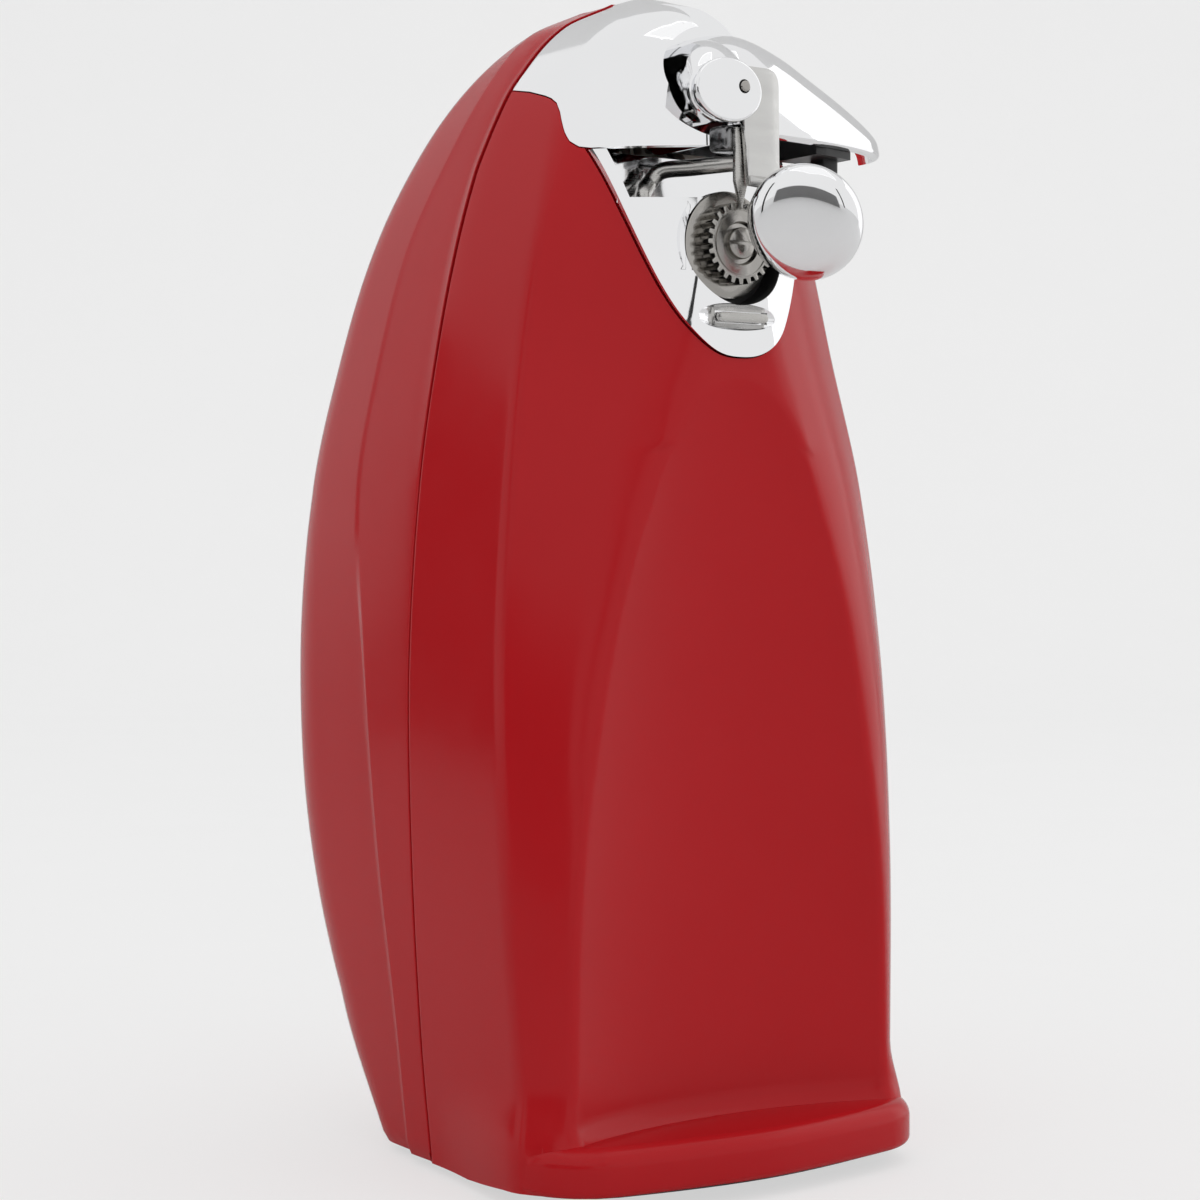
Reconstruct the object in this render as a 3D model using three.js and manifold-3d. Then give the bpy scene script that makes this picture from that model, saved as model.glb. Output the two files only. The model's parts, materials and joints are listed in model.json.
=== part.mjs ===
// Electric can opener: tall two-shell body, chrome cap and face plate, lifting lever with
// cutter and lid magnet, geared drive wheel, and a motor whose tail shaft turns a knife stone.
// Millimetres, +Z up, front towards -Y, lever pointing to +X.
import * as THREE from 'three';
import { mergeVertices } from 'three/addons/utils/BufferGeometryUtils.js';
import Module from 'manifold-3d';

const wasm = await Module();
wasm.setup();

// ---------------------------------------------------------------- driving dimensions
const FIT = 0.3;                 // gap between pieces that seat on each other
const FAR = 200;                 // reach of a cutting tool past the body

const FOOT_HEIGHT = 3;           // body stands this far off the table
const FOOT_RADIUS = 6;
const FOOT_STEM = 2.5;
const BASE_Z = FOOT_HEIGHT + 0.4; // underside of the base plate
const BASE_SHEET = 2.2;
const BASE_SCREW_RADIUS = 1.5;
const BASE_BOSS_TOP = 26;
const SHELL_WALL = 2.4;
const CAP_WALL = 1.8;
const SEAM_Y = 15;               // plane where the two body shells meet
const CROWN_Z = 259;             // top of the body

// Body stations from the base to the crown. seam: half width at the seam; corner, cornerY:
// the front corner; bulge: rise of the slanted flank; flank, noseY: where the flank reaches the
// front; back, backY: the rear corner; creaseY: the line along the rear shell's side.
const STATIONS = [
  { z: FOOT_HEIGHT, seam: 47.2, corner: 48.5, cornerY: -26, bulge: 0.3, flank: 42.3, noseY: -33.6,
    back: 44.5, backY: 44.6, creaseY: 25 },
  { z: 30, seam: 49.9, corner: 50.2, cornerY: -25, bulge: 0.4, flank: 42.3, noseY: -33.6,
    back: 47, backY: 64.2, creaseY: 25 },
  { z: 70, seam: 52.3, corner: 52.2, cornerY: -23, bulge: 0.6, flank: 40.8, noseY: -33.6,
    back: 48.5, backY: 79, creaseY: 30 },
  { z: 110, seam: 53, corner: 52, cornerY: -20.6, bulge: 0.9, flank: 35.3, noseY: -33.6,
    back: 48.8, backY: 82.5, creaseY: 35 },
  { z: 150, seam: 50.4, corner: 48, cornerY: -18.2, bulge: 1, flank: 22.5, noseY: -34,
    back: 46, backY: 80.6, creaseY: 42 },
  { z: 180, seam: 45.8, corner: 42.4, cornerY: -14.8, bulge: 1, flank: 10, noseY: -34.2,
    back: 41, backY: 75.6, creaseY: 40 },
  { z: 205, seam: 40.2, corner: 36.8, cornerY: -13, bulge: 1, flank: 7, noseY: -34.2,
    back: 36, backY: 68.4, creaseY: 36 },
  { z: 225, seam: 33.8, corner: 30, cornerY: -11.2, bulge: 1, flank: 8, noseY: -34.5,
    back: 30, backY: 59.8, creaseY: 28 },
  { z: 242, seam: 26, corner: 22.4, cornerY: -9.5, bulge: 1, flank: 9, noseY: -32,
    back: 22.5, backY: 46.8, creaseY: 22 },
  { z: 253, seam: 17.5, corner: 14.5, cornerY: -7, bulge: 0.6, flank: 7, noseY: -22,
    back: 14, backY: 32, creaseY: 18 },
  { z: CROWN_Z, seam: 5, corner: 4.5, cornerY: -1, bulge: 0, flank: 3, noseY: -4,
    back: 4, backY: 19, creaseY: 16.5 },
];

// Heights of the rings that the outer and inner skins are built from.
const OUTER_LEVELS = [
  2, 16, 34, 55, 76, 97, 118, 137, 154, 168, 182, 196, 210, 222, 231, 239, 245.5, 250, 253.5,
  256.2, 258, CROWN_Z,
];
const INNER_LEVELS = [2, 34, 76, 118, 154, 182, 210, 231, 245.5, 253.5, 258];

const FLANK_PULL = 1.9;          // how far the flank's control point stands beyond its bulge
const NOSE_RADIUS = 18;          // rounding of the nose above the can recess
const RECESS_EDGE_RADIUS = 0.6;
const CORNER_RADIUS = 6;
const BACK_RADIUS = 20;
const CREASE_STEP = 1.8;         // height of the step along the lower rear crease
const CREASE_STEP_TOP = 140;     // the step has faded out at this height

const RECESS_HALF_WIDTH = 42.3;  // can recess: a scooped half-ellipse
const RECESS_BASE_Z = 30;
const RECESS_APEX_Z = 173;
const RECESS_PLANE_Y = -33.5;
const RECESS_DEPTH = 8.3;
const RECESS_DOME = 50;          // front-to-back half axis of the scooping ellipsoid
const LEDGE_Z = 14;              // top of the ledge at the foot of the recess
const LEDGE_FILLET = 3;
const LIP_Y = -46;               // front of the base lip
const LIP_Z = 4.8;               // underside of the base lip
const LIP_FLARE = 3;             // lip stands this much wider than the front corner
const LIP_EDGE = 4;              // rounding of the lip's top and bottom edges

const RIM_TURN_Z = 221;          // above this the rear shell's rim leans forward over the cap
const RIM_SHOULDER_Z = 238.5;
const RIM_SHOULDER_Y = 13;
const RIM_CROWN_Y = 5;
const CAP_SIDE_Z = 230.5;        // lower edge of the cap where it passes the front corner
const CAP_FRONT_Z = 222;         // lower edge of the cap at the front
const CAP_CORNER_Y = -10.5;
const CAP_DROP = 6.5;            // depth over which the cap's edge falls to the front level
const CREST_HALF_WIDTH = 4;      // small crest of the rear shell behind the cap
const CREST_RISE = 1.2;

const PLATE_TIP_Z = 177.5;       // lowest point of the shield-shaped face plate
const PLATE_SPREAD = 6.2;        // half width one millimetre above the tip
const PLATE_FLARE = 0.39;        // power with which the half width grows above the tip
const PLATE_PROUD = 0.7;
const PLATE_WALL = 1.6;
const PLATE_BOSS_RADIUS = 3.2;   // screw bosses behind the face plate
const PLATE_SCREW_RADIUS = 1.5;
const SHELF_Z = 211;             // floor of the hollow between face plate and cap
const HOLLOW_BACK_Y = -16;       // back wall of that hollow
const HOLLOW_RIGHT_X = 22;       // the hollow's walls stop here, under the lever
const HOLLOW_WALL = 1.6;

const HEAD_X = 0;                // middle of drive wheel and cutter
const WHEEL_Z = 201.8;
const WHEEL_FACE_Y = -34.9;
const WHEEL_DEPTH = 7;
const WHEEL_RADIUS = 11.6;       // smooth shoulder behind the teeth
const WHEEL_TOOTH_RADIUS = 8.8;
const WHEEL_TEETH = 24;
const SHAFT_RADIUS = 3;
const WELL_RADIUS = 13.2;        // round well of the face plate behind the wheel
const WELL_FLOOR_Y = -27.7;
const REST_X = 0.8;              // bar that steadies the can, below the wheel
const REST_Z = 186;
const REST_LENGTH = 13;
const REST_HALF = 1;             // half the bar's height
const REST_BACK_Y = -33.4;
const ROD_RADIUS = 1.8;          // rod that keeps the can's rim level

const PIVOT_X = -3;              // lever pivot, along Y
const PIVOT_Z = 237.3;
const POST_RADIUS = 4;
const LEVER_BACK_Y = -13.5;      // flat back of the lever, in front of the cap's flat wall
const LEVER_FRONT_Y = -35.5;
const LEVER_TIP_X = 53;
const LEVER_WALL = 1.8;
const HUB_RADIUS = 9;
const SOCKET_RADIUS = 10.8;      // round socket of the cap, higher than the hub: a crescent gap
const SOCKET_SHIFT = 0.8;
const SOCKET_WALL = 1.2;
const BOSS_X = -6.6;             // flat front of the hub, left of the pivot and below it
const BOSS_Z = 233.4;
const BOSS_HALF_WIDTH = 8.7;
const BOSS_HALF_HEIGHT = 6.8;
const BOSS_FACE_Y = -39.6;
const BOSS_PLATE = 1.4;
const HUB_STRAIGHT_Y = -26;      // in front of this the round hub tapers into the boss
const LEVER_DOWN = -4;           // lever's range, in degrees
const LEVER_UP = 30;
const ARM_SHEET = 1.2;           // sheet of the magnet arm, behind the boss plate
const ARM_EYE_RADIUS = 4.8;
const PIN_RADIUS = 1.2;
const BLADE_SHEET = 1.1;
const MAGNET_RADIUS = 12.5;
const MAGNET_DEPTH = 9;
const MAGNET_FACE = new THREE.Vector3(2.8, -51.4, 204);
const MAGNET_NORMAL = new THREE.Vector3(-0.78, -0.53, -0.33).normalize();

const GEAR_MODULE = 1;
const PINION_TEETH = 8;
const GEAR_TEETH = 48;
const GEAR_DEPTH = 5;
const PLATE_SHEET = 1.6;         // gear plate and bearing plate
const GEAR_PLATE_Y = -9;         // front face of the gear plate
const BEARING_PLATE_Y = 10;
const CHASSIS_SCREW_RADIUS = 1.5;
const GEAR_Y = -4;               // output gear and idler pinion
const IDLER_GEAR_Y = 3.5;        // idler gear and motor pinion
const GEAR_PIN_RADIUS = 2;
const BUSH_RADIUS = 5;
const POST_SCREW = 1.7;
const IDLER_X = 6;
const MOTOR_X = 0;
const STATOR_Y = 24;
const STATOR_DEPTH = 18;
const ROTOR_RADIUS = 14;
const STATOR_WINDOW = 13;
const BOBBIN_WALL = 1;
const COIL_REACH = 5;            // thickness of the winding
const FRONT_BRACKET_Y = 16;
const MOTOR_SHAFT_RADIUS = 2.5;
const STONE_RADIUS = 15;
const STONE_Y = 66;
const STONE_DEPTH = 8;
const KNIFE_SLOT = 3.4;          // slot of the guide in front of the stone
const GUIDE_HALF_WIDTH = 26;

const GLAND_X = -22;             // ring gland where the supply cord would enter
const GLAND_Z = 16;
const GLAND_RADIUS = 4.5;
const GLAND_FLANGE = 6.5;
const GLAND_STEM = 0.6;

const SWITCH_CAM_Y = GEAR_PLATE_Y - 2;
const CAM_GAP = 1.8;             // play between the cam's finger and the plunger
const PLUNGER_X = 12.5;
const PLUNGER_TOP = 213.4;
const PLUNGER_HALF = 1.5;
const PLUNGER_LENGTH = 8;

// ---------------------------------------------------------------- finishes
const finish = (color, roughness, metalness = 0) =>
  new THREE.MeshStandardMaterial({ color, roughness, metalness });
const redPlastic = () => finish(0xb0242a, 0.25);
const blackPlastic = () => finish(0x161616, 0.5);
const whitePlastic = () => finish(0xe6e2d6, 0.5);
const chrome = () => finish(0xe8e8e8, 0.08, 1);
const steel = () => finish(0x9a9690, 0.35, 1);
const brass = () => finish(0xb89a55, 0.35, 1);
const copper = () => finish(0xb0643a, 0.4, 1);
const iron = () => finish(0x5a5a5c, 0.55, 1);
const rubber = () => finish(0x1b1b1b, 0.85);
const stone = () => finish(0x8d9aa3, 0.95);

// ---------------------------------------------------------------- solid helpers
// A closed geometry as a solid that can be joined and cut.
function solid(geometry) {
  const bare = geometry.index ? geometry.toNonIndexed() : geometry.clone();
  bare.deleteAttribute('normal');
  bare.deleteAttribute('uv');
  const merged = mergeVertices(bare, 1e-4);
  const index = merged.index.array;
  const kept = [];
  for (let i = 0; i < index.length; i += 3) {
    const [a, b, c] = [index[i], index[i + 1], index[i + 2]];
    if (a !== b && b !== c && c !== a) kept.push(a, b, c);
  }
  const mesh = new wasm.Mesh({
    numProp: 3,
    vertProperties: new Float32Array(merged.attributes.position.array),
    triVerts: new Uint32Array(kept),
  });
  return new wasm.Manifold(mesh);
}

function geometryOf(body) {
  const mesh = body.getMesh();
  const geometry = new THREE.BufferGeometry();
  geometry.setAttribute('position', new THREE.BufferAttribute(new Float32Array(mesh.vertProperties), 3));
  geometry.setIndex(new THREE.BufferAttribute(new Uint32Array(mesh.triVerts), 1));
  geometry.computeVertexNormals();
  return geometry;
}

const join = (first, ...others) => others.reduce((whole, other) => whole.add(other), first);
const cut = (first, ...others) => others.reduce((whole, other) => whole.subtract(other), first);

// Box between two corners.
function block(x0, x1, y0, y1, z0, z1) {
  const geometry = new THREE.BoxGeometry(x1 - x0, y1 - y0, z1 - z0);
  return solid(geometry.translate((x0 + x1) / 2, (y0 + y1) / 2, (z0 + z1) / 2));
}

// Round bar along Y between two depths.
function barY(radius, x, z, y0, y1, sides = 20) {
  const geometry = new THREE.CylinderGeometry(radius, radius, y1 - y0, sides);
  return solid(geometry.translate(x, (y0 + y1) / 2, z));
}

// Round bar along Z between two heights.
function barZ(radius, x, y, z0, z1, sides = 16) {
  const geometry = new THREE.CylinderGeometry(radius, radius, z1 - z0, sides);
  return solid(geometry.rotateX(Math.PI / 2).translate(x, y, (z0 + z1) / 2));
}

// Turned piece around a Y axis; profile points are [radius, y], y rising.
function turnedY(profile, x, z, sides = 40) {
  const points = profile.map(([radius, y]) => new THREE.Vector2(radius, y));
  return solid(new THREE.LatheGeometry(points, sides).translate(x, 0, z));
}

// Outline in the XZ plane, pushed through from y0 to y1.
function prismXZ(shape, y0, y1, curveSegments = 12) {
  const geometry = new THREE.ExtrudeGeometry(shape, { depth: y1 - y0, bevelEnabled: false, curveSegments });
  return solid(geometry.rotateX(Math.PI / 2).translate(0, y1, 0));
}

// Outline in the YZ plane, pushed through from x0 to x1.
function prismYZ(points, x0, x1) {
  const shape = new THREE.Shape(points.map(([y, z]) => new THREE.Vector2(y, z)));
  const geometry = new THREE.ExtrudeGeometry(shape, { depth: x1 - x0, bevelEnabled: false });
  geometry.applyMatrix4(new THREE.Matrix4().set(0, 0, 1, x0, 1, 0, 0, 0, 0, 1, 0, 0, 0, 0, 0, 1));
  return solid(geometry);
}

// Closed skin over a stack of rings that all have the same number of points.
function loft(rings) {
  const count = rings[0].length;
  const positions = [];
  const triangle = (a, b, c) => positions.push(...a.toArray(), ...b.toArray(), ...c.toArray());
  for (let level = 0; level + 1 < rings.length; level += 1) {
    for (let i = 0; i < count; i += 1) {
      const j = (i + 1) % count;
      const [low, high] = [rings[level], rings[level + 1]];
      triangle(low[i], low[j], high[j]);
      triangle(low[i], high[j], high[i]);
    }
  }
  for (const [ring, flip] of [[rings[0], true], [rings.at(-1), false]]) {
    const middle = ring.reduce((sum, p) => sum.add(p), new THREE.Vector3()).divideScalar(count);
    for (let i = 0; i < count; i += 1) {
      const j = (i + 1) % count;
      if (flip) triangle(middle, ring[j], ring[i]);
      else triangle(middle, ring[i], ring[j]);
    }
  }
  const geometry = new THREE.BufferGeometry();
  geometry.setAttribute('position', new THREE.Float32BufferAttribute(positions, 3));
  return solid(geometry);
}

// Value of a named station field at a height, as a smooth curve through the stations.
function along(field, z) {
  const last = STATIONS.length - 1;
  const slope = (i) => {
    const low = STATIONS[Math.max(i - 1, 0)];
    const high = STATIONS[Math.min(i + 1, last)];
    return (high[field] - low[field]) / (high.z - low.z);
  };
  let i = 0;
  while (i < last - 1 && z > STATIONS[i + 1].z) i += 1;
  const [low, high] = [STATIONS[i], STATIONS[i + 1]];
  const span = high.z - low.z;
  const u = THREE.MathUtils.clamp((z - low.z) / span, 0, 1);
  const [u2, u3] = [u * u, u * u * u];
  return (2 * u3 - 3 * u2 + 1) * low[field] + (u3 - 2 * u2 + u) * span * slope(i)
    + (3 * u2 - 2 * u3) * high[field] + (u3 - u2) * span * slope(i + 1);
}

// Rounds one corner of an outline into an arc of a fixed number of steps.
function roundedCorner(before, corner, after, radius, steps) {
  const toBefore = before.clone().sub(corner);
  const toAfter = after.clone().sub(corner);
  const half = toBefore.angleTo(toAfter) / 2;
  const reach = Math.min(radius / Math.tan(half), 0.48 * toBefore.length(), 0.48 * toAfter.length());
  const start = corner.clone().addScaledVector(toBefore.normalize(), reach);
  const end = corner.clone().addScaledVector(toAfter.normalize(), reach);
  const curve = new THREE.QuadraticBezierCurve(start, corner, end);
  return curve.getPoints(steps);
}

// ---------------------------------------------------------------- body surface
// One level ring of the body, shrunk by an inset on every side.
function bodyRing(z, inset) {
  const at = (field) => along(field, z);
  const v = (x, y) => new THREE.Vector2(Math.max(x, 0.4), y);
  const step = CREASE_STEP * THREE.MathUtils.clamp((CREASE_STEP_TOP - z) / 50, 0, 1);
  const creaseShare = (at('creaseY') - SEAM_Y) / (at('backY') - SEAM_Y);
  const creaseX = THREE.MathUtils.lerp(at('seam'), at('back'), creaseShare) + 0.8;
  const flankRun = v(at('corner') - at('flank'), at('cornerY') - at('noseY'));
  const flankMiddle = v((at('flank') + at('corner')) / 2 - inset, (at('noseY') + at('cornerY')) / 2 + inset)
    .addScaledVector(new THREE.Vector2(flankRun.y, -flankRun.x).normalize(), at('bulge') * FLANK_PULL);
  const noseRadius = THREE.MathUtils.clamp((z - 155) * 1.2, RECESS_EDGE_RADIUS, NOSE_RADIUS);
  const corners = [
    [v(at('flank') - inset, at('noseY') + inset), noseRadius, 3],
    [flankMiddle, FAR, 4],
    [v(at('corner') - inset, at('cornerY') + inset * 0.5), CORNER_RADIUS, 2],
    [v(at('seam') - inset, SEAM_Y), 60, 1],
    [v(creaseX - inset, at('creaseY')), 1, 1],
    [v(creaseX - step - inset, at('creaseY') + 2.2), 1, 1],
    [v(at('back') - inset, at('backY') - inset), BACK_RADIUS, 5],
  ];
  const front = new THREE.Vector2(0, at('noseY') + inset);
  const rear = new THREE.Vector2(0, at('backY') - inset + 1.5);
  const half = [];
  corners.forEach(([corner, radius, steps], i) => {
    const before = i === 0 ? front : corners[i - 1][0];
    const after = i === corners.length - 1 ? rear : corners[i + 1][0];
    half.push(...roundedCorner(before, corner, after, radius, steps));
  });
  const mirrored = half.map((p) => new THREE.Vector2(-p.x, p.y)).reverse();
  return [front, ...half, rear, ...mirrored].map((p) => new THREE.Vector3(p.x, p.y, z));
}

// The body as a solid; the inset one is its hollow and runs out through the bottom.
function bodySolid(inset, levels) {
  const shrink = (CROWN_Z - inset) / CROWN_Z;
  const rings = levels.map((z) => bodyRing(z, inset).map((p) => p.setZ(p.z * shrink)));
  if (inset > 0) rings.unshift(rings[0].map((p) => p.clone().setZ(-5)));
  return loft(rings);
}

const outerBody = bodySolid(0, OUTER_LEVELS);
const innerBody = bodySolid(SHELL_WALL, INNER_LEVELS);

// The can recess as a cutting tool, grown outwards by a wall.
function recessTool(grow) {
  const offset = RECESS_DOME - RECESS_DEPTH;
  const share = Math.sqrt(1 - (offset / RECESS_DOME) ** 2);
  const a = RECESS_HALF_WIDTH / share;
  const c = (RECESS_APEX_Z - RECESS_BASE_Z) / share;
  const centreY = RECESS_PLANE_Y - offset;
  const ring = (z, scale, inset) => {
    const points = [];
    const reach = Math.asin(Math.min(0.95, (RECESS_HALF_WIDTH + 12) / a));
    for (let i = 0; i <= 16; i += 1) {
      const angle = reach * (1 - i / 8);
      const x = (a * scale + grow - inset) * Math.sin(angle);
      const y = centreY + (RECESS_DOME * scale + grow - inset) * Math.cos(angle);
      points.push(new THREE.Vector3(x, y, z));
    }
    const side = points[0].x;
    points.push(new THREE.Vector3(-side, centreY - 20, z), new THREE.Vector3(side, centreY - 20, z));
    return points.reverse();
  };
  const floor = LEDGE_Z - grow;
  const rings = [0, 45, 90].map((deg) => {
    const turn = THREE.MathUtils.degToRad(deg);
    return ring(floor + LEDGE_FILLET * (1 - Math.cos(turn)), 1, LEDGE_FILLET * (1 - Math.sin(turn)));
  });
  for (const z of [RECESS_BASE_Z, 60, 90, 114, 134, 150, 162, 171, 178]) {
    rings.push(ring(z, Math.sqrt(1 - ((z - RECESS_BASE_Z) / c) ** 2), 0));
  }
  return loft(rings.map((points) => points.reverse()));
}

// Plan outline of the base lip, shrunk by an inset.
function lipShape(inset) {
  const base = STATIONS[0];
  const side = base.corner + LIP_FLARE - inset;
  const front = LIP_Y + inset;
  const shape = new THREE.Shape();
  shape.moveTo(-side, base.cornerY + 12);
  shape.lineTo(-side, base.cornerY + 3);
  shape.bezierCurveTo(-side, front + 16, -side + 4, front + 7, -side + 14, front + 4.5);
  shape.quadraticCurveTo(-14, front, 0, front);
  shape.quadraticCurveTo(14, front, side - 14, front + 4.5);
  shape.bezierCurveTo(side - 4, front + 7, side, front + 16, side, base.cornerY + 3);
  shape.lineTo(side, base.cornerY + 12);
  shape.closePath();
  return shape;
}

function lipSolid(inset, z0, z1) {
  const bevel = inset === 0 ? LIP_EDGE : 0;
  const geometry = new THREE.ExtrudeGeometry(lipShape(inset + bevel), {
    depth: z1 - z0 - 2 * bevel,
    bevelEnabled: bevel > 0,
    bevelSize: bevel,
    bevelThickness: bevel,
    bevelSegments: 2,
    curveSegments: 6,
  });
  return solid(geometry.translate(0, 0, z0 + bevel));
}

// Side-view regions that divide the body into rear shell, front shell and cap.
const rimLine = (gap) => [
  [SEAM_Y + gap, RIM_TURN_Z],
  [RIM_SHOULDER_Y + gap, RIM_SHOULDER_Z],
  [RIM_CROWN_Y + gap, CROWN_Z + 3],
];
const capLine = (rise) => [
  [RIM_SHOULDER_Y, RIM_SHOULDER_Z + rise],
  [CAP_CORNER_Y, CAP_SIDE_Z + rise],
  [CAP_CORNER_Y - CAP_DROP / 2, (CAP_SIDE_Z + CAP_FRONT_Z) / 2 + rise],
  [CAP_CORNER_Y - CAP_DROP, CAP_FRONT_Z + rise],
  [-FAR, CAP_FRONT_Z + rise],
];
const rearRegion = prismYZ(
  [[SEAM_Y + FIT / 2, -FAR], [FAR, -FAR], [FAR, CROWN_Z + 3], ...rimLine(FIT / 2).reverse()], -FAR, FAR,
);
const capRegion = prismYZ(
  [[-FAR, CROWN_Z + 20], ...capLine(FIT / 2).reverse(), [RIM_SHOULDER_Y - FIT / 2, RIM_SHOULDER_Z + FIT],
    [RIM_CROWN_Y - FIT / 2, CROWN_Z + 3], [RIM_CROWN_Y - FIT / 2, CROWN_Z + 20]],
  -FAR, FAR,
);
const frontRegion = prismYZ(
  [[-FAR, -FAR], [SEAM_Y - FIT / 2, -FAR], [SEAM_Y - FIT / 2, RIM_TURN_Z],
    [RIM_SHOULDER_Y - FIT / 2, RIM_SHOULDER_Z - FIT / 2], ...capLine(-FIT / 2).slice(1)],
  -FAR, FAR,
);

// ---------------------------------------------------------------- assembly
const opener = new THREE.Group();
opener.name = 'electric_can_opener';

function piece(name, body, material) {
  const mesh = new THREE.Mesh(geometryOf(body), material);
  mesh.name = name;
  opener.add(mesh);
  return mesh;
}

// ---------------------------------------------------------------- shared head shapes
const faceHalfWidth = (z) => PLATE_SPREAD * Math.max(z - PLATE_TIP_Z, 0) ** PLATE_FLARE;
const faceEdgeZ = (x) => PLATE_TIP_Z + (Math.abs(x) / PLATE_SPREAD) ** (1 / PLATE_FLARE);

// Shield outline of the face plate, grown by a gap.
function shieldShape(grow, topZ) {
  const shape = new THREE.Shape();
  const steps = 11;
  const outline = [];
  for (let i = -steps; i <= steps; i += 1) {
    const x = (faceHalfWidth(topZ) * i) / steps;
    outline.push(new THREE.Vector2(x * (1 + grow / faceHalfWidth(topZ)), faceEdgeZ(x) - grow));
  }
  const roof = topZ + 4;
  outline.push(new THREE.Vector2(outline.at(-1).x, roof), new THREE.Vector2(outline[0].x, roof));
  shape.setFromPoints(outline);
  return shape;
}

// Hollow between face plate and cap, open to the front and the right, grown by a gap.
function hollow(grow, backY) {
  const top = CAP_FRONT_Z + FIT;
  const left = prismXZ(shieldShape(grow, top), -FAR, backY);
  const right = block(0, FAR, -FAR, backY, 0, top + 1);
  return join(left, right).intersect(block(-FAR, FAR, -FAR, 0, SHELF_Z + Math.min(0, -grow), top));
}

// Region that the lever sweeps in front of the cap's flat wall, shrunk by a wall.
function leverZone(shrink) {
  const shape = new THREE.Shape();
  const radius = SOCKET_RADIUS - shrink;
  const [x, z] = [PIVOT_X - SOCKET_SHIFT, PIVOT_Z + SOCKET_SHIFT];
  const [from, to] = [248, 100].map(THREE.MathUtils.degToRad);
  shape.moveTo(FAR, z - 60);
  shape.lineTo(FAR, z + 40);
  shape.lineTo(x + radius * Math.cos(to), z + 40);
  shape.absarc(x, z, radius, to, from, false);
  shape.lineTo(x + radius * Math.cos(from), z - 60);
  return shape;
}

const bossShape = (grow) => {
  const shape = new THREE.Shape();
  shape.absellipse(BOSS_X, BOSS_Z, BOSS_HALF_WIDTH + grow, BOSS_HALF_HEIGHT + grow, 0, Math.PI * 2);
  return shape;
};

// Room that the boss and the front of the hub need while the lever lifts.
function bossRoom() {
  const boss = prismXZ(bossShape(2 * FIT), -FAR, HUB_STRAIGHT_Y - 2, 8);
  const steps = [LEVER_DOWN, 0, LEVER_UP / 3, (2 * LEVER_UP) / 3, LEVER_UP];
  return wasm.Manifold.hull(steps.map((angle) => boss.translate([-PIVOT_X, 0, -PIVOT_Z])
    .rotate([0, -angle, 0]).translate([PIVOT_X, 0, PIVOT_Z])));
}

// ---------------------------------------------------------------- body shells
const shellHollow = cut(innerBody, recessTool(SHELL_WALL));
const lipHollow = lipSolid(SHELL_WALL, LIP_Z - 3, LEDGE_Z - SHELL_WALL);
const bodyWithLip = join(outerBody, lipSolid(0, LIP_Z, LEDGE_Z));
const bodyShell = cut(bodyWithLip, recessTool(0), shellHollow, lipHollow);

const baseScrews = [[-42, -4], [42, -4], [-38, 32], [38, 32]];
const baseBosses = baseScrews.map(([x, y]) =>
  barZ(5.2, x, y, BASE_Z + BASE_SHEET + FIT, BASE_BOSS_TOP).intersect(outerBody));
const baseBores = baseScrews.map(([x, y]) => barZ(BASE_SCREW_RADIUS + FIT, x, y, 0, BASE_BOSS_TOP - 3));

const chassisScrews = [[-26, 126], [26, 126], [-27.5, 199], [27.5, 199]];
const chassisBosses = chassisScrews.map(([x, z]) =>
  barY(4.2, x, z, -60, GEAR_PLATE_Y - FIT, 20).intersect(cut(outerBody, recessTool(0.2))));
const chassisBores = chassisScrews.map(([x, z]) =>
  barY(CHASSIS_SCREW_RADIUS + FIT, x, z, GEAR_PLATE_Y - 8, GEAR_PLATE_Y + 4, 16));

function frontHousing() {
  const shell = bodyShell.intersect(frontRegion);
  const shield = prismXZ(shieldShape(FIT, SHELF_Z), -FAR, HOLLOW_BACK_Y + HOLLOW_WALL + FIT);
  const skirt = block(-FAR, FAR, -FAR, STATIONS[0].cornerY + 5, -FAR, LIP_Z);
  return cut(
    join(shell, baseBosses[0], baseBosses[1], ...chassisBosses),
    shield, hollow(FIT, HOLLOW_BACK_Y + HOLLOW_WALL + FIT),
    block(0, FAR, -FAR, HOLLOW_BACK_Y + HOLLOW_WALL + FIT, SHELF_Z - HOLLOW_WALL - FIT, CAP_FRONT_Z + FIT),
    skirt, ...baseBores, ...chassisBores,
  );
}

const glandY = along('backY', GLAND_Z);
const gearDistance = (GEAR_MODULE * (PINION_TEETH + GEAR_TEETH)) / 2;
const idlerZ = WHEEL_Z - Math.sqrt(gearDistance ** 2 - (IDLER_X - HEAD_X) ** 2);
const motorZ = idlerZ - Math.sqrt(gearDistance ** 2 - (IDLER_X - MOTOR_X) ** 2);
const guideZ0 = motorZ + STONE_RADIUS - 7;
const guideZ1 = motorZ + STONE_RADIUS + 7;
const guideY = STONE_Y + STONE_DEPTH + 1.5;

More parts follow.
